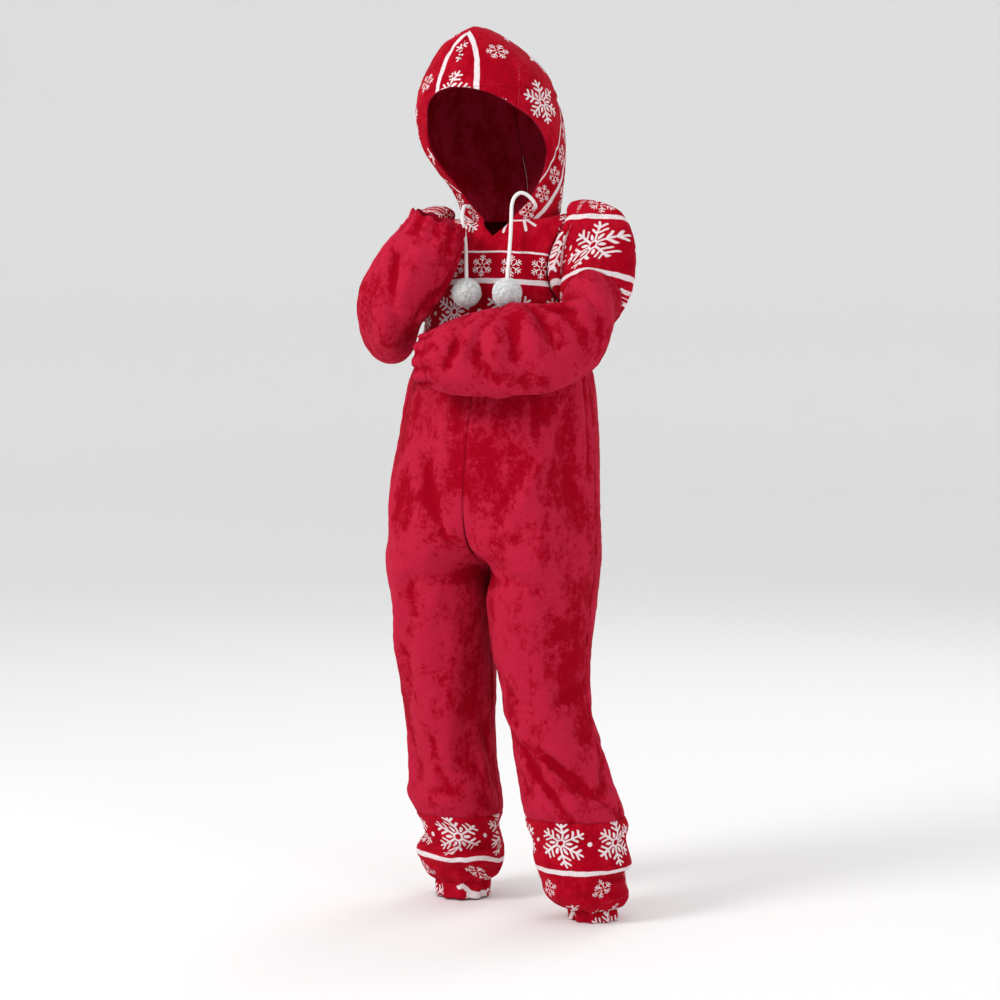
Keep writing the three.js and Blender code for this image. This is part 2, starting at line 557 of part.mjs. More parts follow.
// A stretch of sleeve between two seams, named by their rows in the table. The walls' ends at a seam
// share its normals and stop half its gap short of it.
function sleevePiece(name, from, to, rows) {
  const grid = [];
  const normals = [];
  const point = (turn, at) => sleevePoint(name, turn, at);
  steps(rows, from, to).forEach((at, row) => {
    const line = [];
    const lineNormals = [];
    for (let i = 0; i < SLEEVE_AROUND; i += 1) {
      const turn = 360 * i / SLEEVE_AROUND;
      const place = armholePlace(turn);
      const along = point(turn, at + 0.1).sub(point(turn, Math.max(at - 0.1, 0)));
      const around = point(turn + 1, at).sub(point(turn - 1, at)).normalize();
      const rowLength = 5 * along.addScaledVector(around, -along.dot(around)).length();
      const trim = (at > 0 ? TUBE_HALF : 0) / rowLength * ((row === 0) - (row === rows));
      line.push(point(turn, at + trim));
      lineNormals.push(at === 0 ? bodyNormal(name, place.share, place.z)
        : normalOf(point, turn, at, 2, 0.04, -SIDE[name]));
    }
    grid.push(line);
    normals.push(lineNormals);
  });
  return clothWall(grid, normals, true);
}

// The hood's inner face at a part of the way from its front edge to the back seam, and a level
function hoodPoint(name, part, z) {
  const row = readRow(HOOD, 'z', Math.max(z, 0));
  const seamTurn = -SIDE[name] * SEAM_TURN * (1 - smoothstep(FOREHEAD, HOOD_TOP, z));
  const start = z > FOREHEAD ? seamTurn : row[name];
  const turn = THREE.MathUtils.lerp(start, 180, part) * DEGREE;
  const depth = Math.cos(turn) > 0 ? row.front : row.back;
  return new THREE.Vector3(
    row.x + SIDE[name] * row.side * Math.sin(turn), row.y - depth * Math.cos(turn), z);
}

// The hood as it is sewn: its lowest part comes in to the neck seam
function hoodSurface(name, part, z) {
  const share = THREE.MathUtils.lerp(V_SHARE, 2, part);
  const seam = neckLevel(share);
  const offset = bodyPoint(name, share, seam).sub(hoodPoint(name, part, seam));
  const near = 1 - smoothstep(0, HOOD_SETTLE, z - seam);
  return hoodPoint(name, part, z).addScaledVector(offset, near);
}

function hoodPanel(name) {
  const levels = [...steps(6, 0, 68), ...steps(4, 86, 142), ...steps(2, 150, 159), ...steps(3, 165, 206),
    ...steps(3, 218, HOOD_TOP)];
  const grid = [];
  const normals = [];
  levels.forEach((level, i) => {
    const line = [];
    const lineNormals = [];
    for (const step of steps(10, 0, 1)) {
      const trim = SEAM_HALF / 60;
      const part = THREE.MathUtils.lerp(level > FOREHEAD ? trim : 0, 1 - trim, step);
      const share = THREE.MathUtils.lerp(V_SHARE, 2, part);
      const z = i === 0 ? neckLevel(share) + NECK_GAP : level;
      line.push(hoodSurface(name, part, z));
      lineNormals.push(i === 0 ? bodyNormal(name, share, neckLevel(share))
        : normalOf((a, b) => hoodSurface(name, a, b), THREE.MathUtils.clamp(part, 0.02, 0.98), z,
          0.01, 0.4, -SIDE[name]));
    }
    grid.push(line);
    normals.push(lineNormals);
  });
  return clothWall(grid, normals, false);
}

// A cord's tube along its route
function cordTube(points) {
  const route = new THREE.CatmullRomCurve3(points.map((p) => new THREE.Vector3(...p)));
  const section = new THREE.Shape();
  const sides = 8;
  for (let i = 0; i < sides; i += 1) {
    const turn = 2 * Math.PI * i / sides;
    const [a, b] = [Math.cos(turn) * CORD_WIDTH / 2, Math.sin(turn) * CORD_WIDTH / 2];
    if (i === 0) section.moveTo(a, b);
    else section.lineTo(a, b);
  }
  section.closePath();
  return new THREE.ExtrudeGeometry(section, { steps: 24, extrudePath: route, bevelEnabled: false });
}

// A pompom: a core with a lock of yarn drawn out of each of its faces
function pompomGeometry(center) {
  const core = new THREE.IcosahedronGeometry(POMPOM.radius, 1).getAttribute('position');
  const positions = [];
  const faces = [];
  const known = new Map();
  const pointAt = (v) => {
    const key = v.toArray().map((n) => n.toFixed(3)).join();
    if (!known.has(key)) {
      known.set(key, positions.length / 3);
      positions.push(...v.clone().add(center).toArray());
    }
    return known.get(key);
  };
  for (let i = 0; i < core.count; i += 3) {
    const corners = [0, 1, 2].map((k) => new THREE.Vector3().fromBufferAttribute(core, i + k));
    const middle = corners[0].clone().add(corners[1]).add(corners[2]).divideScalar(3);
    const inset = corners.map((v) => v.clone().lerp(middle, POMPOM.lock_inset));
    const tip = middle.clone().normalize().multiplyScalar(POMPOM.radius + POMPOM.locks_stand);
    const [a, b, c] = corners.map(pointAt);
    const [d, e, f] = inset.map(pointAt);
    const t = pointAt(tip);
    faces.push([a, b, e], [a, e, d], [b, c, f], [b, f, e], [c, a, d], [c, d, f]);
    faces.push([d, e, t], [e, f, t], [f, d, t]);
  }
  return closedGeometry(positions, faces);
}

addPiece('front_yoke', yoke(true), PRINT_RED);
addPiece('back_yoke', yoke(false), PRINT_RED);
for (const name of ['left', 'right']) {
  addPiece(`front_${name}`, bodyPanel(name, true), RED);
  addPiece(`back_${name}`, bodyPanel(name, false), RED);
  const band = legRing(name, LEG_EDGE[name] - TUBE_HALF, HEM[name].top + SEAM_HALF, 7);
  addPiece(`leg_band_${name}`, band, PRINT_RED);
  const hem = legRing(name, HEM[name].top - SEAM_HALF, HEM[name].bottom, 1);
  addPiece(`leg_hem_${name}`, hem, PRINT_RED);
  const { print, cuff, end } = SLEEVE_SEAMS[name];
  addPiece(`sleeve_top_${name}`, sleevePiece(name, 0, print, 7), PRINT_RED);
  addPiece(`sleeve_${name}`, sleevePiece(name, print, cuff, 12), RED);
  addPiece(`cuff_${name}`, sleevePiece(name, cuff, end, 1), RED);
  addPiece(`hood_${name}`, hoodPanel(name), PRINT_RED);
}
addPiece('cord_left', cordTube(LEFT_CORD), WHITE, 0.85);
addPiece('cord_right', cordTube(RIGHT_CORD), WHITE, 0.85);
const below = POMPOM.radius + POMPOM.under_cord;
for (const [name, route] of [['left', LEFT_CORD], ['right', RIGHT_CORD]]) {
  const end = new THREE.Vector3(...route[route.length - 1]);
  addPiece(`pompom_${name}`, pompomGeometry(end.add(new THREE.Vector3(0, 0, -below))), WHITE);
}

export default garment;
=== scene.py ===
import math
import random

import bmesh
import bpy
import numpy as np
from mathutils import Matrix, Vector, noise


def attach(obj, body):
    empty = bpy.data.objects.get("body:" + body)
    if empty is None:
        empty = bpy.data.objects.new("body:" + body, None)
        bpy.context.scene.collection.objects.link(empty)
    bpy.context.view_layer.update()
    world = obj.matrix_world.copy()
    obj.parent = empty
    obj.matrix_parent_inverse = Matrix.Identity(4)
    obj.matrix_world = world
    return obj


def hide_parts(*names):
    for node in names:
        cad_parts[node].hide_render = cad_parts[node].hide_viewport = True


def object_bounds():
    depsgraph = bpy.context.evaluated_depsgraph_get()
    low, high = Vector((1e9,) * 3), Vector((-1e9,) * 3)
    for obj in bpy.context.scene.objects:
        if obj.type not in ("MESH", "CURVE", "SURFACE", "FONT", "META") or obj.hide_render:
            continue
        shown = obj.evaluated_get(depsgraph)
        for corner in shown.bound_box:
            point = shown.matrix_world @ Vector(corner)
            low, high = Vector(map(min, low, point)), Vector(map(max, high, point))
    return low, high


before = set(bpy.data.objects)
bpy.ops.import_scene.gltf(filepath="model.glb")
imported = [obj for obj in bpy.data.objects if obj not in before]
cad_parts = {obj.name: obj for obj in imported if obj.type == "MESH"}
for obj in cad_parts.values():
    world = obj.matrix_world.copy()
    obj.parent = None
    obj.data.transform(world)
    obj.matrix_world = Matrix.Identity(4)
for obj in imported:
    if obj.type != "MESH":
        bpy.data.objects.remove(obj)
cad_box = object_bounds()

# Camera
# The photograph is taken from a little to the garment's left, nearly level, with a long lens.
VIEW_TURN = math.radians(22)
VIEW_RISE = math.radians(4)
VIEW_TARGET = Vector((-0.016, 0.0014, -0.3504))
VIEW_DISTANCE = 3.26

camera_data = bpy.data.cameras.new("camera")
camera_data.lens = 92.9
camera_data.sensor_width = 36
camera = bpy.data.objects.new("camera", camera_data)
bpy.context.collection.objects.link(camera)
toward = Vector((math.sin(VIEW_TURN) * math.cos(VIEW_RISE), -math.cos(VIEW_TURN) * math.cos(VIEW_RISE),
                 math.sin(VIEW_RISE)))
camera.location = VIEW_TARGET + toward * VIEW_DISTANCE
camera.rotation_euler = toward.to_track_quat("Z", "Y").to_euler()
bpy.context.scene.camera = camera

# Drawstring
# A round white knitted cord, limp, whose two free ends come out of the casing along the hood's edge,
# curve over and hang down the chest to the pompoms.
CORD_DIAMETER = 0.0046
CORD_ROUTES = {
    "left": [
        (44, -34.5, 14.2), (47, -38.1, 15), (48, -42.5, 18.5), (45, -47.5, 25), (40, -51.5, 30),
        (34, -55.5, 31.8), (28.6, -59.5, 27.5), (26.2, -63.5, 18.5), (26.6, -67, 7), (27.6, -70.5, -6),
        (28.6, -75, -22), (30, -81.5, -38), (31.8, -89, -53), (33, -95.5, -65.5), (33.4, -98, -74.5),
    ],
    "right": [
        (-39.6, -42.5, 16.5), (-41.6, -46.1, 17.3), (-42.6, -50, 16.8), (-42.6, -54, 13), (-41.8, -59, 6),
        (-39.6, -63, -3), (-36.2, -67, -14), (-32.4, -72, -26), (-28.6, -79, -39), (-25, -87, -52),
        (-21.8, -94, -65), (-20.4, -97, -74.5),
    ],
}


class Shade:
    """A value in a material's maths; operators add its Math nodes."""

    def __init__(self, finish, socket):
        self.finish = finish
        self.socket = socket

    def math(self, operation, *others):
        values = {0: self}
        values.update({i + 1: other for i, other in enumerate(others)})
        return self.finish.node("ShaderNodeMath", {"operation": operation}, values)

    def __add__(self, other):
        return self.math("ADD", other)

    def __sub__(self, other):
        return self.math("SUBTRACT", other)

    def __rsub__(self, other):
        return self.finish.node("ShaderNodeMath", {"operation": "SUBTRACT"}, {0: other, 1: self})

    def __mul__(self, other):
        return self.math("MULTIPLY", other)

    def __truediv__(self, other):
        return self.math("DIVIDE", other)

    def __abs__(self):
        return self.math("ABSOLUTE")

    __radd__ = __add__
    __rmul__ = __mul__

    def least(self, other):
        return self.math("MINIMUM", other)

    def most(self, other):
        return self.math("MAXIMUM", other)

    def wrap(self, low, high):
        return self.math("WRAP", high, low)

    def ramp(self, low, high, start=0.0, end=1.0):
        """From start to end, smoothly, as the value goes from low to high."""
        settings = {"interpolation_type": "SMOOTHSTEP"}
        values = {0: self, 1: low, 2: high, 3: start, 4: end}
        return self.finish.node("ShaderNodeMapRange", settings, values)

    def toward(self, other, part):
        return self + (other - self) * part


class Finish:
    """A material with its Principled shader, and one method that adds any other node."""

    def __init__(self, name, **constants):
        self.material = bpy.data.materials.new(name)
        self.material.use_nodes = True
        self.nodes = self.material.node_tree.nodes
        self.links = self.material.node_tree.links
        self.shader = self.nodes["Principled BSDF"]
        for socket, value in constants.items():
            self.shader.inputs[socket.replace("_", " ")].default_value = value

    def node(self, kind, settings=None, values=None, output=0):
        made = self.nodes.new(kind)
        for key, value in (settings or {}).items():
            setattr(made, key, value)
        for key, value in (values or {}).items():
            self.plug(made.inputs[key], value)
        return Shade(self, made.outputs[output])

    def plug(self, socket, value):
        if isinstance(value, Shade):
            self.links.new(value.socket, socket)
        else:
            socket.default_value = value

    def set(self, socket, value):
        self.plug(self.shader.inputs[socket], value)

    def place(self):
        return self.node("ShaderNodeTexCoord", output="Object")

    def uv(self):
        """The cloth's own lengths, in metres across and along."""
        both = self.node("ShaderNodeUVMap", {"uv_map": "cloth"})
        split = self.node("ShaderNodeSeparateXYZ", values={0: both})
        return split, Shade(self, split.socket.node.outputs[1])

    def speckle(self, where, scale, detail=2.0, roughness=0.5):
        values = {"Vector": where, "Scale": scale, "Detail": detail, "Roughness": roughness}
        return self.node("ShaderNodeTexNoise", values=values)

    def stretched(self, where, factors):
        return self.node("ShaderNodeVectorMath", {"operation": "MULTIPLY"}, {0: where, 1: factors})

    def mixed(self, part, first, second, blend="MIX"):
        settings = {"data_type": "RGBA", "blend_type": blend}
        return self.node("ShaderNodeMix", settings, {0: part, 6: first, 7: second}, output=2)

    def bump(self, height, distance, strength=1.0, under=None):
        values = {"Height": height, "Distance": distance, "Strength": strength}
        if under is not None:
            values["Normal"] = under
        return self.node("ShaderNodeBump", values=values)


cord_white = (0.93, 0.92, 0.91, 1)
knit = Finish("knitted cord", Roughness=0.78, Sheen_Weight=0.35, Sheen_Roughness=0.5)
along, around = knit.uv()
stitch_rows = (along * 2100 + around * 6.2832).math("SINE")
stitch_columns = (around * 6.2832 * 7).math("SINE")
stitches = (stitch_rows * 0.6 + stitch_columns * 0.4) * 0.5 + 0.5
# Painted shade: the white cord is greyer where the stitch bump is low, in the grooves between stitches.
knit.set("Base Color", knit.mixed(stitches, (0.78, 0.77, 0.76, 1), cord_white))
fibre = knit.speckle(knit.place(), 2400, 3)
knit.set("Normal", knit.bump(stitches + fibre * 0.35, 0.0005, 0.8))


def smooth_route(points, steps):
    """The route's own curve: through every point, as the solid's is."""
    points = [Vector(p) / 1000 for p in points]
    ends = [points[0] * 2 - points[1], *points, points[-1] * 2 - points[-2]]
    route = []
    for i in range(1, len(ends) - 2):
        before, here, there, after = ends[i - 1:i + 3]
        spans = [(b - a).length ** 0.5 for a, b in ((before, here), (here, there), (there, after))]
        start = ((here - before) / spans[0] - (there - before) / (spans[0] + spans[1])
                 + (there - here) / spans[1]) * spans[1]
        end = ((there - here) / spans[1] - (after - here) / (spans[1] + spans[2])
               + (after - there) / spans[2]) * spans[1]
        for step in range(steps):
            t = step / steps
            route.append(here * (2 * t ** 3 - 3 * t * t + 1) + start * (t ** 3 - 2 * t * t + t)
                         + there * (3 * t * t - 2 * t ** 3) + end * (t ** 3 - t * t))
    return route + [points[-1]]


def piece_from(mesh_maker, name, finish, slot, *nodes):
    """An object at the origin from a finished bmesh, riding on the garment and standing for its nodes."""
    mesh = bpy.data.meshes.new(name)
    mesh_maker.to_mesh(mesh)
    mesh_maker.free()
    mesh.materials.append(finish.material)
    mesh.shade_smooth()
    piece = bpy.data.objects.new(name, mesh)
    bpy.context.collection.objects.link(piece)
    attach(piece, "root")
    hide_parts(*nodes)
    return piece


CORD_SIDES = 16
cord_paths = {}
for side, points in CORD_ROUTES.items():
    path = smooth_route(points, 8)
    cord_paths[side] = path
    lengths = np.concatenate([[0], np.cumsum([(b - a).length for a, b in zip(path, path[1:])])])
    tube = bmesh.new()
    bmesh.ops.create_grid(tube, x_segments=len(path) - 1, y_segments=CORD_SIDES, size=1)
    uv_layer = tube.loops.layers.uv.new("cloth")
    frames = []
    across = Vector((1, 0, 0))
    for i, point in enumerate(path):
        ahead = (path[min(i + 1, len(path) - 1)] - path[max(i - 1, 0)]).normalized()
        across = (across - ahead * across.dot(ahead)).normalized()
        frames.append((point, across, ahead.cross(across)))
    for vertex in tube.verts:
        i = round((vertex.co.x + 1) / 2 * (len(path) - 1))
        part = (vertex.co.y + 1) / 2
        for loop in vertex.link_loops:
            loop[uv_layer].uv = (lengths[i], part)
        point, first, second = frames[i]
        turn = 2 * math.pi * part
        vertex.co = point + (first * math.cos(turn) + second * math.sin(turn)) * CORD_DIAMETER / 2
    bmesh.ops.remove_doubles(tube, verts=tube.verts, dist=1e-6)
    bmesh.ops.holes_fill(tube, edges=[e for e in tube.edges if e.is_boundary], sides=0)
    bmesh.ops.recalc_face_normals(tube, faces=tube.faces)
    cord = piece_from(tube, f"drawstring_{side}", knit, "drawstring", f"cord_{side}")


# Pompoms
# Each is a ball of cut white yarn, tied at the middle on the cord's end and trimmed round and dense.
POMPOM_CENTERS = {"left": (0.0334, -0.098, -0.0904), "right": (-0.0204, -0.097, -0.0904)}
POMPOM_CORE = 0.0156
POMPOM_REACH = 0.0188
YARN_ENDS = 2600
YARN_START = POMPOM_CORE * 0.93      # each end is rooted just inside the core
YARN_ROOT, YARN_TIP = 0.00062, 0.0003
YARN_LEAN = 0.22
TUFTS_PER_METRE, TUFT_SHARE = 420, 0.07

yarn = Finish("cut yarn", Roughness=0.85, Sheen_Weight=0.5, Sheen_Roughness=0.4, Subsurface_Weight=0.12,
              Subsurface_Scale=0.004)
tufts = yarn.speckle(yarn.place(), 260, 2)
yarn.set("Base Color", yarn.mixed(tufts.ramp(0.35, 0.65), (0.9, 0.895, 0.89, 1), (0.98, 0.975, 0.97, 1)))
yarn.set("Normal", yarn.bump(yarn.speckle(yarn.place(), 1500, 3), 0.0006, 0.7))

for number, (side, center) in enumerate(POMPOM_CENTERS.items()):
    chance = random.Random(40 + number)
    ball = bmesh.new()
    bmesh.ops.create_icosphere(ball, subdivisions=5, radius=POMPOM_CORE)
    for vertex in ball.verts:
        tuft = noise.noise(vertex.co * TUFTS_PER_METRE + Vector((number * 9, 0, 0)))
        vertex.co *= 1 + TUFT_SHARE * tuft
    for i in range(YARN_ENDS):
        height = 1 - 2 * (i + 0.5) / YARN_ENDS
        turn = i * 2.399963 + chance.uniform(-0.3, 0.3)
        out = Vector((math.sqrt(1 - height * height) * math.cos(turn),
                      math.sqrt(1 - height * height) * math.sin(turn), height))
        sheen_and_shade = Vector([chance.uniform(-1, 1) for _ in range(3)]) * YARN_LEAN
        reach = POMPOM_REACH * chance.uniform(0.93, 1.0)
        turned = (out + sheen_and_shade).to_track_quat("Z", "Y").to_matrix().to_4x4()
        stand = Matrix.Translation(out * YARN_START) @ turned
        long = reach - YARN_START
        bmesh.ops.create_cone(ball, segments=3, radius1=YARN_ROOT, radius2=YARN_TIP, depth=long,
                              cap_ends=True, matrix=stand @ Matrix.Translation((0, 0, long / 2)))
    bmesh.ops.translate(ball, verts=ball.verts, vec=center)
    piece_from(ball, f"yarn_ball_{side}", yarn, "pompom", f"pompom_{side}")

# Yokes
# Two printed fleece panels over the chest and the back, joined at the sides and sewn to the plain body
# below them with a level seam. The neck seam carries the hood.
CLOTH = 0.0024
YOKE_EDGE = -155
LEG_EDGE = {"left": -742, "right": -758}
NECK_FRONT = -20
V_SHARE = 0.2
SIDE = {"left": 1, "right": -1}
# plane, y, out, reach, front and back at each level, as in the solids
TRUNK = np.array([
    (8, 0, 1, 0, 55, 47, 50),
    (0, 0, 1, 0, 59, 51, 55),
    (-10, -1, 2, 0, 76, 57, 62),
    (-24, -2, 3, 0, 93, 64, 70),
    (-45, -4, 3, 0, 101, 72, 78),
    (-75, -6, 3, 0, 103, 78, 82),
    (-110, -8, 2, 0, 103, 80, 83),
    (-155, -11, 0, 0, 108, 80, 84),
    (-205, -16, 0, 0, 120, 88, 90),
    (-265, -20, 0, 0, 130, 98, 97),
    (-335, -23.5, 0, 12, 136, 103, 104),
    (-388, -24, 0, 42, 137.5, 104, 106),
    (-432, -24, 0, 68.4, 136.4, 99, 102),
])
LEGS = {
    "left": np.array([
        (-475, -25, -2, 68, 133.6, 90, 92),
        (-540, -28, -8, 73, 133, 74, 78),
        (-600, -28, -14, 83, 137, 62, 66),
        (-684, -28, -15, 103, 161, 58, 61),
        (-753, -28, -14, 122, 186, 60, 61),
        (-772, -28, -14, 125, 184, 55, 57),
        (-796, -28, -14, 129, 190, 60, 59),
        (-822, -28, -14, 133, 188, 57, 55),
        (-840, -28, -13, 136, 189, 54, 51),
        (-850, -28, -13, 139, 183, 44, 42),
        (-857, -28, -13, 142, 174, 32, 31),
        (-872, -28, -13, 144, 174, 30, 30),
    ]),
    "right": np.array([
        (-475, -25, 4, 67, 132.4, 90, 92),
        (-540, -28, 10, 66.5, 129.5, 76, 80),
        (-600, -28, 16, 66, 127, 66, 70),
        (-684, -28, 29, 65, 121, 58, 62),
        (-757, -28, 39, 60, 117, 56, 58),
        (-776, -28, 41, 59, 109, 50, 52),
        (-800, -28, 43, 59, 115, 57, 56),
        (-824, -28, 45, 58, 112, 55, 54),
        (-838, -28, 46, 58, 106, 49, 47),
        (-847, -28, 47, 58, 95, 37, 36),
        (-870, -28, 47, 58, 92, 34, 33),
    ]),
}
BODY = {side: np.vstack([TRUNK, LEGS[side]]) for side in SIDE}
CROTCH = TRUNK[-1, 0]
SHOULDER_LIFT = {"left": 27, "right": 20}
HEM_TOP = {"left": -858, "right": -848}
HEM_BOTTOM = {"left": -870.5, "right": -869}
GATHERS, HEM_GATHER, HEM_GATHER_RISE = 10, 2.0, 26      # their number, height and reach up the leg
ARMHOLE = {"top": -11, "bottom": -124, "front": 0.5, "back": 0.4, "point": 1.2}
# share and level where a fold starts and ends, its width and its height
BODY_FOLDS = {
    "left": [
        (0.3, -250, 0.55, -420, 20, 6),
        (0.62, -230, 0.8, -400, 18, -6),
        (0.1, -425, 0.62, -450, 16, -7),
        (0.35, -470, 0.5, -640, 20, 6),
        (0.75, -520, 0.95, -700, 18, -6),
        (0.2, -640, 0.75, -690, 15, -5),
        (0.3, -728, 1.0, -716, 12, 5),
        (0.55, -838, 1.15, -826, 8, -6),
        (0.8, -806, 1.3, -812, 8, -4),
        (1.15, -620, 1.7, -590, 16, -6),
        (1.3, -440, 1.9, -415, 18, -7),
        (1.25, -200, 1.5, -380, 22, 6),
        (1.7, -60, 1.55, -230, 18, -5),
    ],
    "right": [
        (0.35, -200, 0.5, -380, 20, 6),
        (0.7, -190, 0.82, -390, 18, -6),
        (0.1, -430, 0.55, -455, 16, -6),
        (0.45, -460, 0.5, -700, 20, 5),
        (0.85, -560, 0.65, -720, 18, -6),
        (0.15, -560, 0.3, -690, 16, -5),
        (0.4, -738, 1.1, -728, 12, 5),
        (0.15, -800, 0.95, -788, 8, -6),
        (0.0, -832, 0.6, -826, 8, -5),
        (1.2, -610, 1.75, -635, 16, -6),
        (1.35, -455, 1.9, -425, 18, -7),
        (1.3, -230, 1.45, -400, 22, 6),
        (1.72, -70, 1.6, -240, 18, -5),
    ],
}
SHARE_LENGTH = 150
# The cloth's own creases and ridges, given like the folds, with a height below 0 for a trough
BODY_CREASES = {
    "left": [
        (0.0, -393, 0.29, -436, 6, 5), (0.03, -408, 0.26, -450, 6, -5), (0.42, -200, 0.43, -265, 5, -4),
        (0.81, -190, 0.82, -300, 7, 3.5), (0.9, -180, 0.91, -320, 5, -3.5), (0.6, -230, 0.31, -380, 10, 5),
        (0.15, -601, 0.47, -663, 8, 4), (0.47, -663, 0.67, -737, 8, 5), (0.36, -655, 0.61, -742, 6, -5),
        (0.31, -671, 0.53, -740, 6, 4), (0.52, -662, 0.73, -699, 7, -5), (0.73, -699, 0.99, -741, 7, -5),
        (0.6, -650, 0.88, -695, 7, 4), (1.14, -660, 0.87, -706, 6, -5), (1.0, -640, 0.8, -700, 7, 3.5),
        (1.03, -573, 0.74, -591, 9, -6), (0.69, -417, 0.98, -472, 9, -4), (0.67, -478, 0.96, -521, 9, -4),
        (0.74, -812, 1.15, -815, 5, -7), (0.68, -800, 1.15, -803, 6, 4), (0.2, -560, 0.5, -600, 9, -3),
        (1.3, -600, 1.7, -560, 8, -5), (1.35, -640, 1.75, -690, 8, 4.5), (1.5, -290, 1.6, -420, 10, 5),
        (1.97, -400, 1.65, -446, 7, 5), (1.4, -812, 1.85, -800, 6, -6), (1.2, -700, 1.5, -732, 7, -5),
        (1.6, -230, 1.8, -370, 9, 4), (1.3, -770, 1.7, -780, 7, 4),
    ],
    "right": [
        (0.27, -290, 0.15, -386, 5, -5), (0.15, -386, 0.08, -410, 5, -4), (0.37, -290, 0.25, -395, 9, 4.5),
        (0.1, -630, 0.02, -685, 7, -5), (0.14, -676, 0.1, -728, 6, 4), (0.9, -790, 0.4, -803, 6, -7),
        (0.4, -803, 0.08, -795, 6, -6), (0.9, -810, 0.1, -812, 8, 4), (0.8, -836, 0.1, -838, 5, -4),
        (0.92, -190, 0.72, -373, 6, -4), (0.8, -200, 0.57, -380, 9, 4.5), (0.48, -421, 0.66, -605, 8, -4),
        (0.28, -498, 0.39, -682, 10, 4), (0.6, -430, 0.82, -600, 9, 4), (0.51, -650, 0.44, -722, 7, -4),
        (0.8, -640, 0.86, -745, 8, 4), (0.2, -200, 0.14, -320, 8, 3),
        (1.3, -560, 1.7, -604, 8, -5), (1.3, -664, 1.7, -630, 8, 4.5), (1.97, -400, 1.62, -444, 7, 5),
        (1.15, -802, 1.85, -796, 6, -6), (1.5, -270, 1.6, -400, 10, 5), (1.4, -700, 1.6, -744, 7, -5),
        (1.6, -470, 1.75, -560, 9, -4), (1.25, -830, 1.7, -826, 6, 4),
    ],
}


def creased(points, normals, folds, a, b, a_length, b_length):
    return points + normals * fold_height(folds, a, b, a_length, b_length)[..., None]


def between(table, at):
    """Every column of a table at the given keys, along smooth curves through its rows."""
    keys = table[:, 0]
    order = -1 if keys[0] > keys[-1] else 1
    at = np.asarray(at, float)
    i = np.clip(np.searchsorted(keys * order, at * order, side="left") - 1, 0, len(keys) - 2)
    low = np.maximum(np.arange(len(keys)) - 1, 0)
    high = np.minimum(np.arange(len(keys)) + 1, len(keys) - 1)
    slopes = (table[high] - table[low]) / (keys[high] - keys[low])[:, None]
    span = (keys[i + 1] - keys[i])[..., None]
    t = np.clip((at[..., None] - keys[i][..., None]) / span, 0, 1)
    return ((2 * t ** 3 - 3 * t ** 2 + 1) * table[i] + (t ** 3 - 2 * t ** 2 + t) * span * slopes[i]
            + (3 * t ** 2 - 2 * t ** 3) * table[i + 1] + (t ** 3 - t ** 2) * span * slopes[i + 1])


def smoothstep(low, high, value):
    t = np.clip((np.asarray(value, float) - low) / (high - low), 0, 1)
    return t * t * (3 - 2 * t)


def fold_height(folds, a, b, a_length, b_length):
    height = np.zeros(np.broadcast(a, b).shape)
    for from_a, from_b, to_a, to_b, wide, high in folds:
        line = np.array([(to_a - from_a) * a_length, (to_b - from_b) * b_length])
        x = (a - from_a) * a_length
        y = (b - from_b) * b_length
        t = np.clip((x * line[0] + y * line[1]) / (line @ line), 0, 1)
        away = np.hypot(x - t * line[0], y - t * line[1]) / wide
        height += high * np.exp(-away ** 2) * (0.35 + 0.65 * np.sin(np.pi * (0.15 + 0.7 * t)))
    return height


def normals_of(surface, a, b, step_a, step_b, outward):
    along_a = surface(a + step_a, b) - surface(a - step_a, b)
    along_b = surface(a, b + step_b) - surface(a, b - step_b)
    normal = np.cross(along_a, along_b) * outward
    return normal / np.maximum(np.linalg.norm(normal, axis=-1, keepdims=True), 1e-9)


def body_form(side, share, z):
    share, z = np.broadcast_arrays(np.asarray(share, float), np.asarray(z, float))
    row = between(BODY[side], z)
    plane, y, out, reach, front, back = (row[..., i] for i in range(1, 7))
    radius = reach - out
    turn = np.arccos(np.clip(-out / radius, -1, 1)) * (1 - share)
    depth = np.where(turn > 0, front, back)
    on_side = np.sin(np.minimum(share, 2 - share) * np.pi / 2) ** 2
    lift = SHOULDER_LIFT[side] * on_side * smoothstep(50, 92, reach) * smoothstep(-125, -30, z)
    x = plane + SIDE[side] * (out + radius * np.cos(turn))
    return np.stack([x, y - depth * np.sin(turn), z + lift], -1)


def body_point(side, share, z):
    share, z = np.broadcast_arrays(np.asarray(share, float), np.asarray(z, float))
    form = lambda a, b: body_form(side, a, b)
    normal = normals_of(form, np.clip(share, 0.004, 1.996), z, 0.004, 1, SIDE[side])
    from_seam = smoothstep(0, 0.16, np.minimum(share, 2 - share))
    fade = np.where(z > CROTCH - 30, from_seam, 1)
    top = HEM_TOP[side]
    gathers = (1 - smoothstep(top, top + HEM_GATHER_RISE, z)) * HEM_GATHER * np.cos(
        GATHERS * np.pi * (1 - share))
    height = fade * fold_height(BODY_FOLDS[side], share, z, SHARE_LENGTH, 1) + gathers
    return form(share, z) + normal * height[..., None]


def neck_level(share):
    front = NECK_FRONT * (1 - share / V_SHARE)
    return np.where(share < V_SHARE, front, 3 * smoothstep(1, 2, share))


def armhole_place(turn):
    sine = np.sin(np.radians(turn))
    width = np.abs(sine) ** ARMHOLE["point"]
    share = np.where(sine >= 0, 1 - ARMHOLE["front"] * width, 1 + ARMHOLE["back"] * width)
    middle = (ARMHOLE["top"] + ARMHOLE["bottom"]) / 2
    half = (ARMHOLE["top"] - ARMHOLE["bottom"]) / 2
    return share, middle + half * np.cos(np.radians(turn))


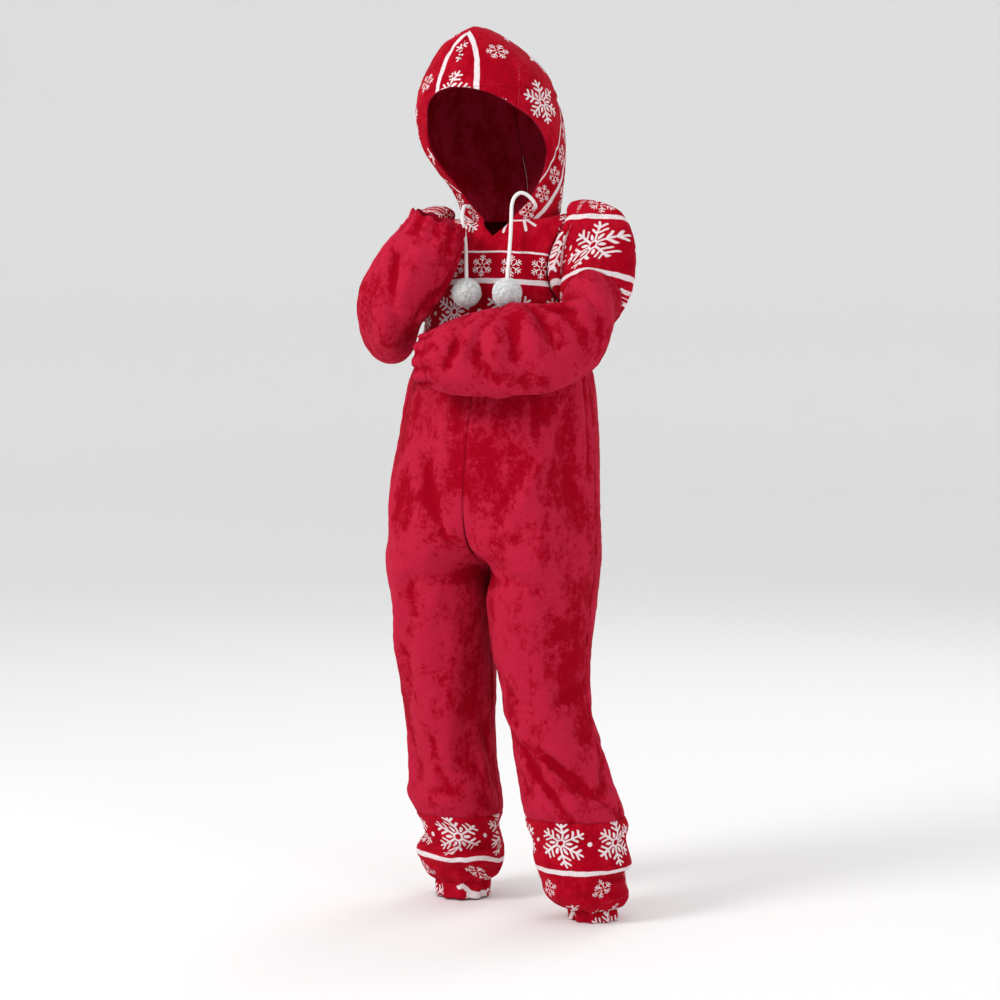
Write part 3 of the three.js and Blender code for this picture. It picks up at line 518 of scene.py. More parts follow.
def ripple(points, size, seed, squash=(1, 1, 1)):
    """Smooth uneven waves over the cloth, from -1 to 1, at the given size in millimetres."""
    shift = np.array([seed * 7.3, seed * 3.1, 0])
    flat = (points.reshape(-1, 3) * np.array(squash) / size + shift).tolist()
    return np.array([noise.noise(p) for p in flat]).reshape(points.shape[:-1])


SEAM_SOFT = 2.2     # how wide a seam pulls the cloth in, and how deep, in millimetres
SEAM_DEEP = 1.1
FINE_FOLDS = 1.7    # how high the fine uneven ripples are
RIDGE_FULL = 2.6    # a place this far above the cloth round it counts as a full ridge
SMOOTHINGS = 60     # how often the cloth is smoothed to find what lies round a place
SEAM_CLEAR = 9      # the ripples die out this near a seam
RIPPLE_SIZES = {26: 0.7, 11: 0.45}     # the size of each kind of ripple and its part in the whole


def ridges_of(points, normals, closed):
    """How far each place stands above the cloth round it, from -1 in a trough to 1 on a ridge."""
    soft = points
    for _ in range(SMOOTHINGS):
        wide = np.pad(soft, ((1, 1), (0, 0), (0, 0)), mode="edge")
        wide = np.pad(wide, ((0, 0), (1, 1), (0, 0)), mode="edge")
        if closed:
            wide[:, 0], wide[:, -1] = wide[:, -3], wide[:, 2]
        soft = (wide[:-2, 1:-1] + wide[2:, 1:-1] + wide[1:-1, :-2] + wide[1:-1, 2:]) / 4
    return np.clip(np.sum((points - soft) * normals, axis=-1) / RIDGE_FULL, -1, 1)


def cloth_piece(name, finish, slot, node, grid, columns, rows, closed=False, chart=None, casing=None,
                sewn=("left", "right", "top", "bottom"), seed=1, ripples=FINE_FOLDS):
    """A sheet of fleece on its solid's form; grid gives points and normals at parts 0 to 1 across and down.

    The map "cloth" holds the cloth's own lengths in metres, across and down, or what chart gives."""
    a, b = np.meshgrid(np.linspace(0, 1, columns + 1), np.linspace(0, 1, rows + 1))
    points, normals = grid(a, b)
    steps_a = np.linalg.norm(np.diff(points, axis=1), axis=2)
    steps_b = np.linalg.norm(np.diff(points, axis=0), axis=2)
    u = np.concatenate([np.zeros((rows + 1, 1)), np.cumsum(steps_a, axis=1)], axis=1)
    u = u - u[:, [columns // 2]]
    v = np.concatenate([np.zeros((1, columns + 1)), np.cumsum(steps_b, axis=0)], axis=0)
    width = float((u[:, -1] - u[:, 0]).max()) / 1000
    length = float((v[-1] - v[0]).max()) / 1000
    edges = {"left": u - u[:, [0]], "right": u[:, [-1]] - u, "top": v - v[[0], :], "bottom": v[[-1], :] - v}
    long_size, short_size = RIPPLE_SIZES
    height = ripples * (RIPPLE_SIZES[long_size] * ripple(points, long_size, seed, (1, 1, 0.45))
                        + RIPPLE_SIZES[short_size] * ripple(points, short_size, seed + 5))
    for edge, away in edges.items():
        if edge in sewn:
            height = height * smoothstep(0, SEAM_CLEAR, away) - SEAM_DEEP * np.exp(-(away / SEAM_SOFT) ** 2)
    if casing is not None:
        edge, wide = casing
        height = height - SEAM_DEEP * np.exp(-((edges[edge] - wide) / SEAM_SOFT) ** 2)
    points = points + normals * height[..., None]
    ridges = ridges_of(points, normals, closed)
    if chart is not None:
        u, v = chart(points)
    if closed:
        points[:, -1] = points[:, 0]
    sheet = bmesh.new()
    bmesh.ops.create_grid(sheet, x_segments=columns, y_segments=rows, size=1)
    uv_layer = sheet.loops.layers.uv.new("cloth")
    # The fleece reads this ridge map to paint light on ridges and shade in troughs.
    ridge_layer = sheet.verts.layers.float.new("ridge")
    for vertex in sheet.verts:
        i = round((vertex.co.x + 1) / 2 * columns)
        j = round((vertex.co.y + 1) / 2 * rows)
        for loop in vertex.link_loops:
            loop[uv_layer].uv = (u[j, i] / 1000, v[j, i] / 1000)
        vertex[ridge_layer] = ridges[j, i]
        vertex.co = points[j, i] / 1000
    if closed:
        bmesh.ops.remove_doubles(sheet, verts=sheet.verts, dist=2e-6)
    sheet.normal_update()
    outward = np.cross(points[1:, :-1] - points[:-1, :-1], points[:-1, 1:] - points[:-1, :-1])
    if np.sum(outward * normals[:-1, :-1]) > 0:
        bmesh.ops.reverse_faces(sheet, faces=sheet.faces)
    area = sum(face.calc_area() for face in sheet.faces)
    piece = piece_from(sheet, name, finish, slot, node)
    wall = piece.modifiers.new("cloth", "SOLIDIFY")
    wall.thickness = CLOTH
    wall.offset = -1
    wall.material_offset = 1
    wall.material_offset_rim = 1
    piece.data.materials.append(reverse.material)
    print(name, "cut", round(width, 3), round(length, 3), "area", round(area, 4))
    return piece


def lay_flat(piece, columns, first, second, at_first, direction):
    """Lays the piece out flat as it was cut, and turns it so that the way from first to second runs
    along direction and first lies at at_first, in metres. Both are (row, column) of its grid."""
    bpy.context.view_layer.objects.active = piece
    piece.select_set(True)
    bpy.ops.object.mode_set(mode="EDIT")
    bpy.ops.mesh.select_all(action="SELECT")
    bpy.ops.uv.unwrap(method="ANGLE_BASED", margin=0)
    bpy.ops.object.mode_set(mode="OBJECT")
    piece.select_set(False)
    mesh = piece.data
    corners = np.zeros(len(mesh.loops) * 2)
    mesh.uv_layers["cloth"].data.foreach_get("uv", corners)
    corners = corners.reshape(-1, 2)
    vertex_of = np.zeros(len(mesh.loops), int)
    mesh.loops.foreach_get("vertex_index", vertex_of)
    places = np.zeros((len(mesh.vertices), 2))
    places[vertex_of] = corners
    flat_area = 0.0
    for face in mesh.polygons:
        x, y = places[list(face.vertices)].T
        flat_area += (x * np.roll(y, -1) - np.roll(x, -1) * y).sum() / 2
    size = math.sqrt(sum(face.area for face in mesh.polygons) / abs(flat_area))
    if flat_area > 0:      # the print isn't mirrored: u runs to the right and v down, seen from outside
        places[:, 0] *= -1
    start, end = (places[row * (columns + 1) + column] for row, column in (first, second))
    turn = math.atan2(direction[1], direction[0]) - math.atan2(*(end - start)[::-1])
    rotation = np.array([[math.cos(turn), math.sin(turn)], [-math.sin(turn), math.cos(turn)]])
    places = (places - start) @ rotation * size + np.array(at_first)
    mesh.uv_layers["cloth"].data.foreach_set("uv", places[vertex_of].ravel())


def yoke_grid(front):
    """Points and normals of a yoke, a from the right armhole to the left, b from the neck down."""
    opening = ARMHOLE["front" if front else "back"]
    middle = (ARMHOLE["top"] + ARMHOLE["bottom"]) / 2
    half = (ARMHOLE["top"] - ARMHOLE["bottom"]) / 2

    def grid(a, b):
        place = 2 * a - 1
        away = np.abs(place)
        points = np.zeros(a.shape + (3,))
        normals = np.zeros(a.shape + (3,))
        for side in SIDE:
            mask = place < 0 if side == "right" else place >= 0
            seam = neck_level(away if front else 2 - away)
            z = seam + (YOKE_EDGE - seam) * b
            along = np.clip((z - middle) / half, -1, 1)
            edge = 1 - opening * np.sqrt(1 - along ** 2) ** ARMHOLE["point"]
            share = away * edge if front else 2 - away * edge
            here = body_point(side, share, z)
            inside = np.clip(share, 0.006, 1.994)
            out = normals_of(lambda p, q: body_point(side, p, q), inside, z, 0.006, 1.5, SIDE[side])
            points[mask] = here[mask]
            normals[mask] = out[mask]
        return points, normals
    return grid


# The print, in metres down the cloth from a thick stripe, and the reaches of its motifs. It repeats: stripe,
# row of large flakes, stripe, scattered flakes, deer and flakes in turn, thin line, row of small flakes.
PRINT_REPEAT = 0.228
STRIPE = 0.003
BIG_ROW = 0.037
STRIPES_APART = 0.074
SCATTERED_ROW = 0.099
DEER_ROW = 0.150
GROUND_SPLIT = 0.119
THIN_LINE = 0.192
SMALL_ROW = 0.2095
BIG_FLAKE, MIDDLE_FLAKE, SCATTERED_FLAKE, SMALL_FLAKE = 0.0315, 0.026, 0.0135, 0.0142
COLUMN = 0.074
DEER_REACH, DEER_DROP = 0.031, 0.003
DOT, DOT_ROUND = 0.0027, 0.03      # a dot's radius, and the length that lines and dots are measured in


def stroke(x, y, start, end, weight):
    """Distance to a straight stroke less its half width: below 0 is inside it."""
    length = math.dist(start, end)
    toward_x, toward_y = (end[0] - start[0]) / length, (end[1] - start[1]) / length
    along = ((x - start[0]) * toward_x + (y - start[1]) * toward_y).most(0).least(length)
    over_x = x - start[0] - along * toward_x
    over_y = y - start[1] - along * toward_y
    return (over_x * over_x + over_y * over_y).math("SQRT") - weight


def flake(x, y, bare):
    """A six-armed flake of reach 1: arms with two pairs of twigs, a ring, and a petal between each two.
    Where bare is 1 it has arms and twigs alone."""
    radius = (x * x + y * y).math("SQRT")
    fold = abs(y.math("ARCTAN2", x).wrap(-math.pi / 6, math.pi / 6))
    p = radius * fold.math("COSINE")
    q = radius * fold.math("SINE")
    shape = stroke(p, q, (0.17, 0), (0.93, 0), 0.037)
    for root, long in ((0.46, 0.30), (0.70, 0.24)):
        tip = (root + long * math.cos(math.radians(56)), long * math.sin(math.radians(56)))
        shape = shape.least(stroke(p, q, (root, 0), tip, 0.036))
    between_arms = math.pi / 6 - fold
    petal_p = radius * between_arms.math("COSINE")
    petal_q = radius * abs(between_arms.math("SINE"))
    ring = abs(petal_p - 0.15) - 0.034
    petal = ((petal_p - 0.36) * (petal_p - 0.36) + petal_q * petal_q * 5.5).math("SQRT") - 0.135
    return shape.least(ring.least(petal) + bare * 0.5)


def deer(x, y):
    """A plain leaping deer about 2 high: body, neck, head, four legs, antlers and tail."""
    shape = stroke(x, y, (-0.42, 0.02), (0.36, 0.1), 0.16)
    for start, end, weight in (
            ((0.36, 0.12), (0.62, 0.5), 0.09), ((0.6, 0.52), (0.84, 0.44), 0.075),
            ((0.4, 0.02), (0.78, -0.3), 0.05), ((0.3, 0.0), (0.44, -0.52), 0.05),
            ((-0.42, 0.0), (-0.8, -0.4), 0.055), ((-0.36, 0.0), (-0.46, -0.6), 0.05),
            ((0.58, 0.58), (0.36, 0.98), 0.035), ((0.5, 0.74), (0.2, 0.8), 0.03),
            ((0.62, 0.6), (0.72, 0.98), 0.03), ((-0.52, 0.1), (-0.68, 0.22), 0.05)):
        shape = shape.least(stroke(x, y, start, end, weight))
    return shape


def print_ink(finish, across, down, shift):
    """How much white ink lies at a place of the cloth, from 0 to 1."""
    u = across + shift[0]
    v = (down + shift[1]).wrap(-0.036, PRINT_REPEAT - 0.036)
    sharp = 0.0001
    in_small = v.ramp(-sharp, sharp, 1, 0)
    in_scattered = v.ramp(STRIPES_APART - sharp, STRIPES_APART + sharp) * v.ramp(
        GROUND_SPLIT - sharp, GROUND_SPLIT + sharp, 1, 0)
    in_ground = v.ramp(GROUND_SPLIT - sharp, GROUND_SPLIT + sharp)
    column = u.wrap(-COLUMN / 2, COLUMN / 2)
    x = column / BIG_FLAKE
    y = (v - BIG_ROW) / BIG_FLAKE
    x = x.toward(u.wrap(-COLUMN / 4, COLUMN / 4) / SMALL_FLAKE, in_small)
    y = y.toward((v - (SMALL_ROW - PRINT_REPEAT)) / SMALL_FLAKE, in_small)
    x = x.toward((u + COLUMN * 0.3).wrap(-COLUMN / 2, COLUMN / 2) / SCATTERED_FLAKE, in_scattered)
    y = y.toward((v - SCATTERED_ROW) / SCATTERED_FLAKE, in_scattered)
    x = x.toward(column / MIDDLE_FLAKE, in_ground)
    y = y.toward((v - DEER_ROW) / MIDDLE_FLAKE, in_ground)
    pair = u.wrap(-COLUMN, COLUMN)
    deer_here = in_ground * abs(pair).ramp(COLUMN / 2 - sharp, COLUMN / 2 + sharp)
    deer_x = (u + COLUMN).wrap(-COLUMN, COLUMN)
    flakes = flake(y, x, in_small.most(in_scattered))
    deers = deer(deer_x / DEER_REACH, (DEER_ROW - DEER_DROP - v) / DEER_REACH)
    motif = flakes.toward(deers, deer_here)
    dot_x = (u + COLUMN / 2).wrap(-COLUMN / 2, COLUMN / 2)
    dots = ((dot_x * dot_x + (v - BIG_ROW) * (v - BIG_ROW)).math("SQRT") - DOT) / DOT_ROUND
    stripes = abs(v).least(abs(v - STRIPES_APART)).least(abs(v - PRINT_REPEAT)) - STRIPE
    thin = abs(v - THIN_LINE).least(abs(v - (THIN_LINE - PRINT_REPEAT))) - 0.001
    return motif.least(dots).least(stripes.least(thin) / DOT_ROUND).ramp(-0.012, 0.022, 1, 0)


def fleece(name, shift=None, turned=False, deep=1.0):
    """Brushed red fleece whose pile lies in patches, its sheen painted into the colour: painted highlights
    where the pile leans to the eye, painted shade where it leans away, painted light on ridges and painted
    shade in troughs. Given a shift along and down the cloth, it is printed."""
    finish = Finish(name, Roughness=0.9, Sheen_Weight=0.1, Sheen_Roughness=0.4,
                    Sheen_Tint=(1, 0.15, 0.25, 1), Specular_IOR_Level=0.04)
    place = finish.place()
    ridge = finish.node("ShaderNodeAttribute", {"attribute_name": "ridge"}, output=2)
    drawn = finish.stretched(place, (1, 1, 0.6))
    zones = finish.speckle(drawn, 13, 2, 0.5)
    patches = finish.speckle(drawn, 48, 4, 0.65)
    ragged = finish.speckle(place, 150, 5, 0.75)
    grain = finish.speckle(place, 700, 2, 0.6)
    # Painted sheen and shade of the pile: pale painted highlights and deep painted shade in ragged patches,
    # with painted light on the cloth's ridges and painted shade in its troughs.
    sheen_and_shade = zones * 0.6 + patches * 0.9 + ragged * 0.7 + ridge * (0.13 if shift is None else 0.05)
    painted_highlight = sheen_and_shade.ramp(1.03, 1.27)
    # The low red is the pile's painted shade and the high red its painted highlight; on printed cloth they
    # lie closer together.
    low, high = (0.33, 0.0, 0.010, 1), (0.49, 0.014, 0.045, 1)
    if shift is not None:
        low, high = (0.36, 0.0, 0.010, 1), (0.46, 0.004, 0.018, 1)
    low, high = (tuple(part * deep for part in color[:3]) + (1,) for color in (low, high))
    color = finish.mixed(painted_highlight, low, high)
    # Fine flecks of painted shade in the pile, darker where the fine grain is high.
    color = finish.mixed(grain.ramp(0.35, 0.75) * 0.3, color, (0.23 * deep, 0.0, 0.008 * deep, 1))
    if shift is not None:
        across, down = finish.uv()
        if turned:
            across, down = down, across
        wander = finish.speckle(place, 70, 2) * 0.0018 - 0.0009
        ink = print_ink(finish, across + wander, down + wander, shift)
        worn = finish.speckle(place, 450, 3, 0.7).ramp(0.28, 0.6, 0.7, 1.0)
        color = finish.mixed(ink * worn, color, (0.80, 0.74, 0.76, 1))
    finish.set("Base Color", color)
    finish.set("Normal", finish.bump(grain * 0.6 + ragged * 0.4 + patches * 0.5, 0.0012, 0.5))
    return finish


reverse = fleece("reverse of the fleece", deep=0.8)
YOKE_STRIPE = -76      # the level of the stripe across the chest
yoke_print = fleece("printed fleece of the yokes", shift=(0.02, 0.0))
for front, node in ((True, "front_yoke"), (False, "back_yoke")):
    yoke = cloth_piece(node + "_cloth", yoke_print, "printed_fleece", node, yoke_grid(front), 120, 72,
                       seed=3 if front else 4)
    lay_flat(yoke, 120, (72, 40), (72, 80), (-0.04 if front else 0.04, (YOKE_STRIPE - YOKE_EDGE) / 1000),
             (1 if front else -1, 0))

# Body and leg panels
# Four plain fleece panels run from the yoke to the leg bands. They meet at the centre seams, which go
# on down the inside of each leg, and at the side seams.
plain = fleece("plain fleece")


def leg_cloth(side, share, z):
    """Points of the creased cloth of the body and legs, and the way out of it."""
    inside = np.clip(share, 0.006, 1.994)
    outward = normals_of(lambda p, q: body_point(side, p, q), inside, z, 0.006, 1.2, SIDE[side])
    flat = outward * smoothstep(0, 0.06, np.minimum(share, 2 - share))[..., None]
    return creased(body_point(side, share, z), flat, BODY_CREASES[side], share, z, SHARE_LENGTH, 1), outward


def panel_grid(side, front):
    def grid(a, b):
        return leg_cloth(side, a if front else 2 - a, YOKE_EDGE + (LEG_EDGE[side] - YOKE_EDGE) * b)
    return grid


for side in SIDE:
    for front in (True, False):
        node = f"{'front' if front else 'back'}_{side}"
        cloth_piece(node + "_cloth", plain, "plain_fleece", node, panel_grid(side, front), 76, 220,
                    seed=len(node) + front)

# Leg bands and hems
# A printed band round each lower leg blouses over the ankle, and ends in a casing that elastic gathers.


def ring_grid(side, top, bottom):
    def grid(a, b):
        return leg_cloth(side, 2 * a, top + (bottom - top) * b)
    return grid


band_print = fleece("printed fleece of the leg bands", shift=(0.02, 0.010))
hem_print = fleece("printed fleece of the leg hems", shift=(0.02, 0.128))
for side in SIDE:
    cloth_piece(f"leg_band_{side}_cloth", band_print, "printed_fleece", f"leg_band_{side}",
                ring_grid(side, LEG_EDGE[side], HEM_TOP[side]), 150, 70, closed=True,
                sewn=("top", "bottom"), seed=9)
    cloth_piece(f"leg_hem_{side}_cloth", hem_print, "printed_fleece", f"leg_hem_{side}",
                ring_grid(side, HEM_TOP[side], HEM_BOTTOM[side]), 150, 10, closed=True, sewn=("top",),
                seed=12)

# Sleeves
# A printed sleeve top is set into each armhole; the plain sleeve below it ends in a cuff that elastic
# gathers. The left arm lies across the waist and the right hand is raised, so both bend at the elbow.
SLEEVES = {
    "left": np.array([
        (0, 80, 0, 4, 96, 0, -124, 1, 0, 0, 48, 46),
        (1, 117, -3, 23, 106, -9, -129, 0.8, -0.5, -0.3, 46, 45),
        (2, 142, -8, 2, 106, -25, -130, 0.5, -0.75, -0.4, 45, 40),
        (3, 151, -17, -38, 103, -39, -128, 0.25, -0.85, -0.45, 45, 34),
        (4, 152, -30, -84, 97, -55, -124, 0.05, -0.85, -0.52, 42, 30),
        (5, 148, -42, -132, 88, -69, -118, -0.1, -0.82, -0.56, 42, 29),
        (6, 133, -62, -180, 76, -82, -110, -0.4, -0.78, -0.45, 41, 30),
        (7, 96, -94, -206, 58, -98, -106, -0.75, -0.65, -0.1, 39, 31),
        (8, 52, -117, -213, 40, -113, -109, -0.93, -0.35, 0, 38, 34),
        (9, 11, -129, -214, 9, -124, -115, -1, -0.14, 0, 38, 35),
        (10, -24, -134, -212, -25, -131, -126, -1, -0.05, 0, 36, 34),
        (11, -46, -134, -205, -46, -134, -138, -1, 0, 0, 31, 30),
        (12, -63, -133, -205, -62, -133, -143, -1, 0, 0, 28, 28),
    ]),
    "right": np.array([
        (0, -82, 0, 2, -113, 0, -124, -1, 0, 0, 48, 46),
        (1, -122, -6, 17, -125, -9, -129, -0.8, -0.5, -0.3, 42, 45),
        (2, -147, -16, -12, -126, -25, -131, -0.4, -0.75, -0.5, 38, 42),
        (3, -157, -34, -48, -123, -41, -128, -0.1, -0.8, -0.6, 33, 41),
        (4, -162, -54, -80, -117, -57, -124, 0, -0.82, -0.57, 26, 43),
        (5, -164, -73, -104, -106, -75, -120, 0, -0.9, -0.45, 19, 48),
        (6, -162, -93, -118, -87, -93, -120, 0, -1, -0.05, 16, 52),
        (7, -150, -111, -94, -64, -111, -110, 0.15, -0.5, 0.85, 19, 47),
        (8, -127, -115, -55, -47, -115, -94, 0.42, 0, 0.9, 28, 39),
        (9, -109, -114, -26, -31, -114, -62, 0.42, 0, 0.9, 31, 36),
        (10, -89, -111, -3, -23, -111, -30, 0.42, 0, 0.9, 28, 30),
        (11, -82, -109, 11, -22, -109, -13, 0.42, 0, 0.9, 26, 27),
    ]),
}
SLEEVE_FOLDS = {
    "left": [
        (10, 1.6, 60, 3.2, 13, 4),
        (25, 2.4, 80, 4.4, 12, -4),
        (50, 5.0, 120, 5.6, 12, -6),
        (30, 6.0, 125, 6.2, 12, 5),
        (40, 7.0, 130, 7.4, 12, -5),
        (30, 7.6, 95, 9.6, 12, 5),
        (95, 8.2, 140, 10.2, 11, -5),
        (290, 3.0, 320, 5.2, 12, -4),
        (340, 6.6, 310, 9.0, 12, 4),
    ],
    "right": [
        (340, 1.4, 310, 3.0, 13, 4),
        (250, 3.8, 330, 4.4, 12, -5),
        (225, 5.8, 330, 6.0, 13, -5),
        (300, 6.6, 290, 8.6, 12, 6),
        (250, 6.8, 262, 9.1, 11, -5),
        (345, 7.0, 330, 9.0, 11, -5),
        (205, 7.2, 215, 9.0, 11, 4),
    ],
}
# The same creases on the sleeves: turn and row where each starts and ends, width and height
SLEEVE_CREASES = {
    "left": [
        (135, 9.2, 75, 9.8, 6, -6), (132, 8.9, 84, 9.35, 7, 4), (117, 10.4, 75, 9.8, 5, -4),
        (119, 8.8, 86, 8.9, 7, -6), (86, 8.9, 50, 8.6, 8, -4), (122, 8.4, 66, 8.35, 8, 5),
        (126, 7.9, 80, 7.9, 6, -5.5), (146, 7.1, 84, 7.0, 7, -7), (140, 7.45, 90, 7.45, 8, 4.5),
        (150, 6.5, 116, 5.9, 7, -8), (150, 6.1, 96, 5.55, 9, 5), (104, 5.2, 58, 5.7, 9, -5),
        (250, 8.0, 220, 9.5, 8, -5), (232, 6.2, 200, 7.0, 8, -5), (260, 4.1, 305, 4.7, 9, -5),
        (330, 9.0, 300, 9.8, 8, -4), (20, 7.2, 350, 8.4, 10, 3),
    ],
    "right": [
        (298, 8.6, 240, 7.0, 6, -6), (312, 8.3, 252, 6.6, 9, 5), (175, 9.6, 188, 8.1, 7, -5),
        (188, 8.1, 222, 6.5, 8, -5), (303, 9.15, 225, 9.2, 8, 4), (270, 9.5, 280, 8.8, 6, -3),
        (60, 8.0, 120, 7.0, 8, -5), (100, 9.0, 140, 8.4, 8, -4), (80, 5.2, 130, 6.0, 8, -6),
        (150, 5.0, 190, 5.5, 8, -6), (20, 6.4, 350, 7.4, 9, 3),
    ],
}
PRINT_ENDS = {"left": 4, "right": 3.6}
CUFF_STARTS = {"left": 11, "right": 10}
CUFF_GATHER = 1.7
SLEEVE_ENDS = {"left": 12, "right": 11}
BLEND_ROWS = 1.6
CAP_BULGE, CAP_SHARE = 15, 0.6      # how far the sleeve's head stands out, and as a part of its way
TURN_LENGTH, ROW_LENGTH = 0.75, 32      # the length of a degree and of a row on the sleeve


def sleeve_ring(side, turn, at):
    row = between(SLEEVES[side], at)
    outside, inside, face = row[..., 1:4], row[..., 4:7], row[..., 7:10]
    half = (outside - inside) / 2
    out = half / np.linalg.norm(half, axis=-1, keepdims=True)
    face = face - out * np.sum(out * face, axis=-1, keepdims=True)
    face = face / np.linalg.norm(face, axis=-1, keepdims=True)
    front = np.cross(face, out) * SIDE[side]
    sine = np.sin(np.radians(turn))[..., None]
    across = np.where(sine > 0, row[..., 10:11], row[..., 11:12])
    return (outside + inside) / 2 + half * np.cos(np.radians(turn))[..., None] + front * sine * across


def sleeve_form(side, turn, at):
    turn, at = np.broadcast_arrays(np.asarray(turn, float), np.maximum(np.asarray(at, float), 0))
    ring = sleeve_ring(side, turn, at)
    if at.min() >= BLEND_ROWS:
        return ring
    part = smoothstep(0, BLEND_ROWS, at) * 0.5 + np.minimum(at / BLEND_ROWS, 1) * 0.5
    share, z = armhole_place(turn)
    seam = body_point(side, share, z)
    normal = normals_of(lambda p, q: body_point(side, p, q), share, z, 0.004, 1, SIDE[side])
    far = CAP_SHARE * np.linalg.norm(seam - sleeve_ring(side, turn, np.full(at.shape, BLEND_ROWS)), axis=-1)
    bulge = np.minimum(CAP_BULGE, far) * 4 * part * (1 - part)
    part = part[..., None]
    blend = (seam + normal * bulge[..., None]) * (1 - part) + ring * part
    return np.where(at[..., None] >= BLEND_ROWS, ring, blend)


def sleeve_point(side, turn, at):
    turn, at = np.broadcast_arrays(np.asarray(turn, float), np.asarray(at, float))
    form = lambda a, b: sleeve_form(side, a, b)
    normal = normals_of(form, turn, at, 1, 0.03, -SIDE[side])
    height = sum(fold_height(SLEEVE_FOLDS[side], turn + round_trip, at, TURN_LENGTH, ROW_LENGTH)
                 for round_trip in (0, 360, -360, 720))
    near = smoothstep(CUFF_STARTS[side] - 0.9, CUFF_STARTS[side], at)
    height = height * (1 - near) + near * CUFF_GATHER * np.cos(GATHERS * np.radians(turn))
    return form(turn, at) + normal * (smoothstep(0, 1, at) * height)[..., None]


def sleeve_grid(side, start, end):
    """a goes once round from the underarm, b down the sleeve. The rings are the cloth's inner face."""
    def grid(a, b):
        at = start + (end - start) * b
        turn = 360 * a - 180
        point = lambda p, q: sleeve_point(side, p, q)
        outward = normals_of(point, turn, at, 2, 0.04, SIDE[side])
        thick = CLOTH * 1000 * smoothstep(0, 0.4, at)
        points = point(turn, at) + outward * thick[..., None]
        for round_trip in (0, 360):
            points = creased(points, outward, SLEEVE_CREASES[side], turn + round_trip, at,
                             TURN_LENGTH, ROW_LENGTH)
        return points, outward
    return grid


# The print runs round the upper arm: its axis, in millimetres, and the sleeve's radius there
ARM_START = {"left": (112, -12, 0), "right": (-118, -14, 0)}
ARM_WAY = {"left": (0.25, -0.42, -0.87), "right": (-0.2, -0.45, -0.87)}
ARM_RADIUS = 50
STRIPE_FROM_START = 4
CUFF_CASING = 15


def arm_chart(side):
    """The cloth's lengths round and down the upper arm, counted from the stripe at the shoulder."""
    way = np.array(ARM_WAY[side])
    way = way / np.linalg.norm(way)
    front = np.array((0, -1, 0)) + way * way[1]
    front = front / np.linalg.norm(front)
    outer = np.cross(front, way)

    def chart(points):
        from_axis = points - np.array(ARM_START[side])
        turn = np.unwrap(np.arctan2(from_axis @ outer, from_axis @ front), axis=1)
        middle = turn.shape[1] // 2
        turn = turn - np.round(turn[:, [middle]] / (2 * np.pi)) * 2 * np.pi
        reach = np.hypot(from_axis @ outer, from_axis @ front)
        steps = np.diff(turn, axis=1) * (reach[:, 1:] + reach[:, :-1]) / 2
        u = np.concatenate([np.zeros((len(turn), 1)), np.cumsum(steps, axis=1)], axis=1)
        return u + turn[:, [middle]] * ARM_RADIUS - u[:, [middle]], from_axis @ way - STRIPE_FROM_START
    return chart


for side in SIDE:
    sleeve_print = fleece(f"printed fleece of the {side} sleeve", shift=(0.0, 0.0))
    cloth_piece(f"sleeve_top_{side}_cloth", sleeve_print, "printed_fleece", f"sleeve_top_{side}",
                sleeve_grid(side, 0, PRINT_ENDS[side]), 120, 60, closed=True, chart=arm_chart(side),
                sewn=("top", "bottom"), seed=21)
    cloth_piece(f"sleeve_{side}_cloth", plain, "plain_fleece", f"sleeve_{side}",
                sleeve_grid(side, PRINT_ENDS[side], CUFF_STARTS[side]), 120, 110, closed=True,
                sewn=("top",), seed=25)
    cloth_piece(f"cuff_{side}_cloth", plain, "plain_fleece", f"cuff_{side}",
                sleeve_grid(side, CUFF_STARTS[side], SLEEVE_ENDS[side]), 120, 30, closed=True, sewn=(),
                seed=27, casing=("bottom", CUFF_CASING))

# Hood
# Two printed fleece halves, cut with the print turned, joined over the head from the forehead back to
# the neck seam. Their front edge is folded back into a casing for the drawstring and stitched down.
HOOD = np.array([
    (0, 0, 1, 59, 51, 55, 18, 18),
    (18, -3, 3, 62, 52, 62, 36, 32),
    (38, -8, 6, 68, 58, 70, 50, 42),
    (62, -17, 9, 77, 72, 84, 63, 46),
    (90, -27, 10, 87, 86, 94, 69, 42),
    (120, -33, 10, 90, 92, 96, 59, 36),
    (140, -36, 10, 88, 90, 93, 41, 33),
    (152, -38, 11, 85, 87, 88, 27, 27),
    (159, -37, 11, 85, 84, 85, 8, 18),
    (161, -38, 11, 84, 83, 84, -10, 10),
    (178, -39, 12, 78, 74, 76, -10, 10),
    (202, -43, 12, 62, 58, 61, -10, 10),
    (222, -49, 12, 41, 41, 43, -10, 10),
    (235, -50, 12, 20, 27, 27, -10, 10),
    (241, -50, 12, 3, 14, 14, -10, 10),
])
FOREHEAD, HOOD_TOP, SEAM_TURN = 160.5, 240.5, 10
HOOD_SETTLE = 14
NECK_TUCK = 3      # how far the hood's seam edge goes down inside the yokes


def hood_point(side, part, z):
    row = between(HOOD, np.maximum(z, 0))
    column = 6 if side == "left" else 7
    seam_turn = -SIDE[side] * SEAM_TURN * (1 - smoothstep(FOREHEAD, HOOD_TOP, z))
    start = np.where(z > FOREHEAD, seam_turn, row[..., column])
    turn = np.radians(start + (180 - start) * part)
    depth = np.where(np.cos(turn) > 0, row[..., 4], row[..., 5])
    x = row[..., 1] + SIDE[side] * row[..., 3] * np.sin(turn)
    return np.stack([x, row[..., 2] - depth * np.cos(turn), z], -1)


def hood_surface(side, part, z):
    part, z = np.broadcast_arrays(np.asarray(part, float), np.asarray(z, float))
    share = V_SHARE + (2 - V_SHARE) * part
    seam = neck_level(share)
    offset = body_point(side, share, seam) - hood_point(side, part, seam)
    near = 1 - smoothstep(0, HOOD_SETTLE, z - seam)
    return hood_point(side, part, z) + offset * near[..., None]


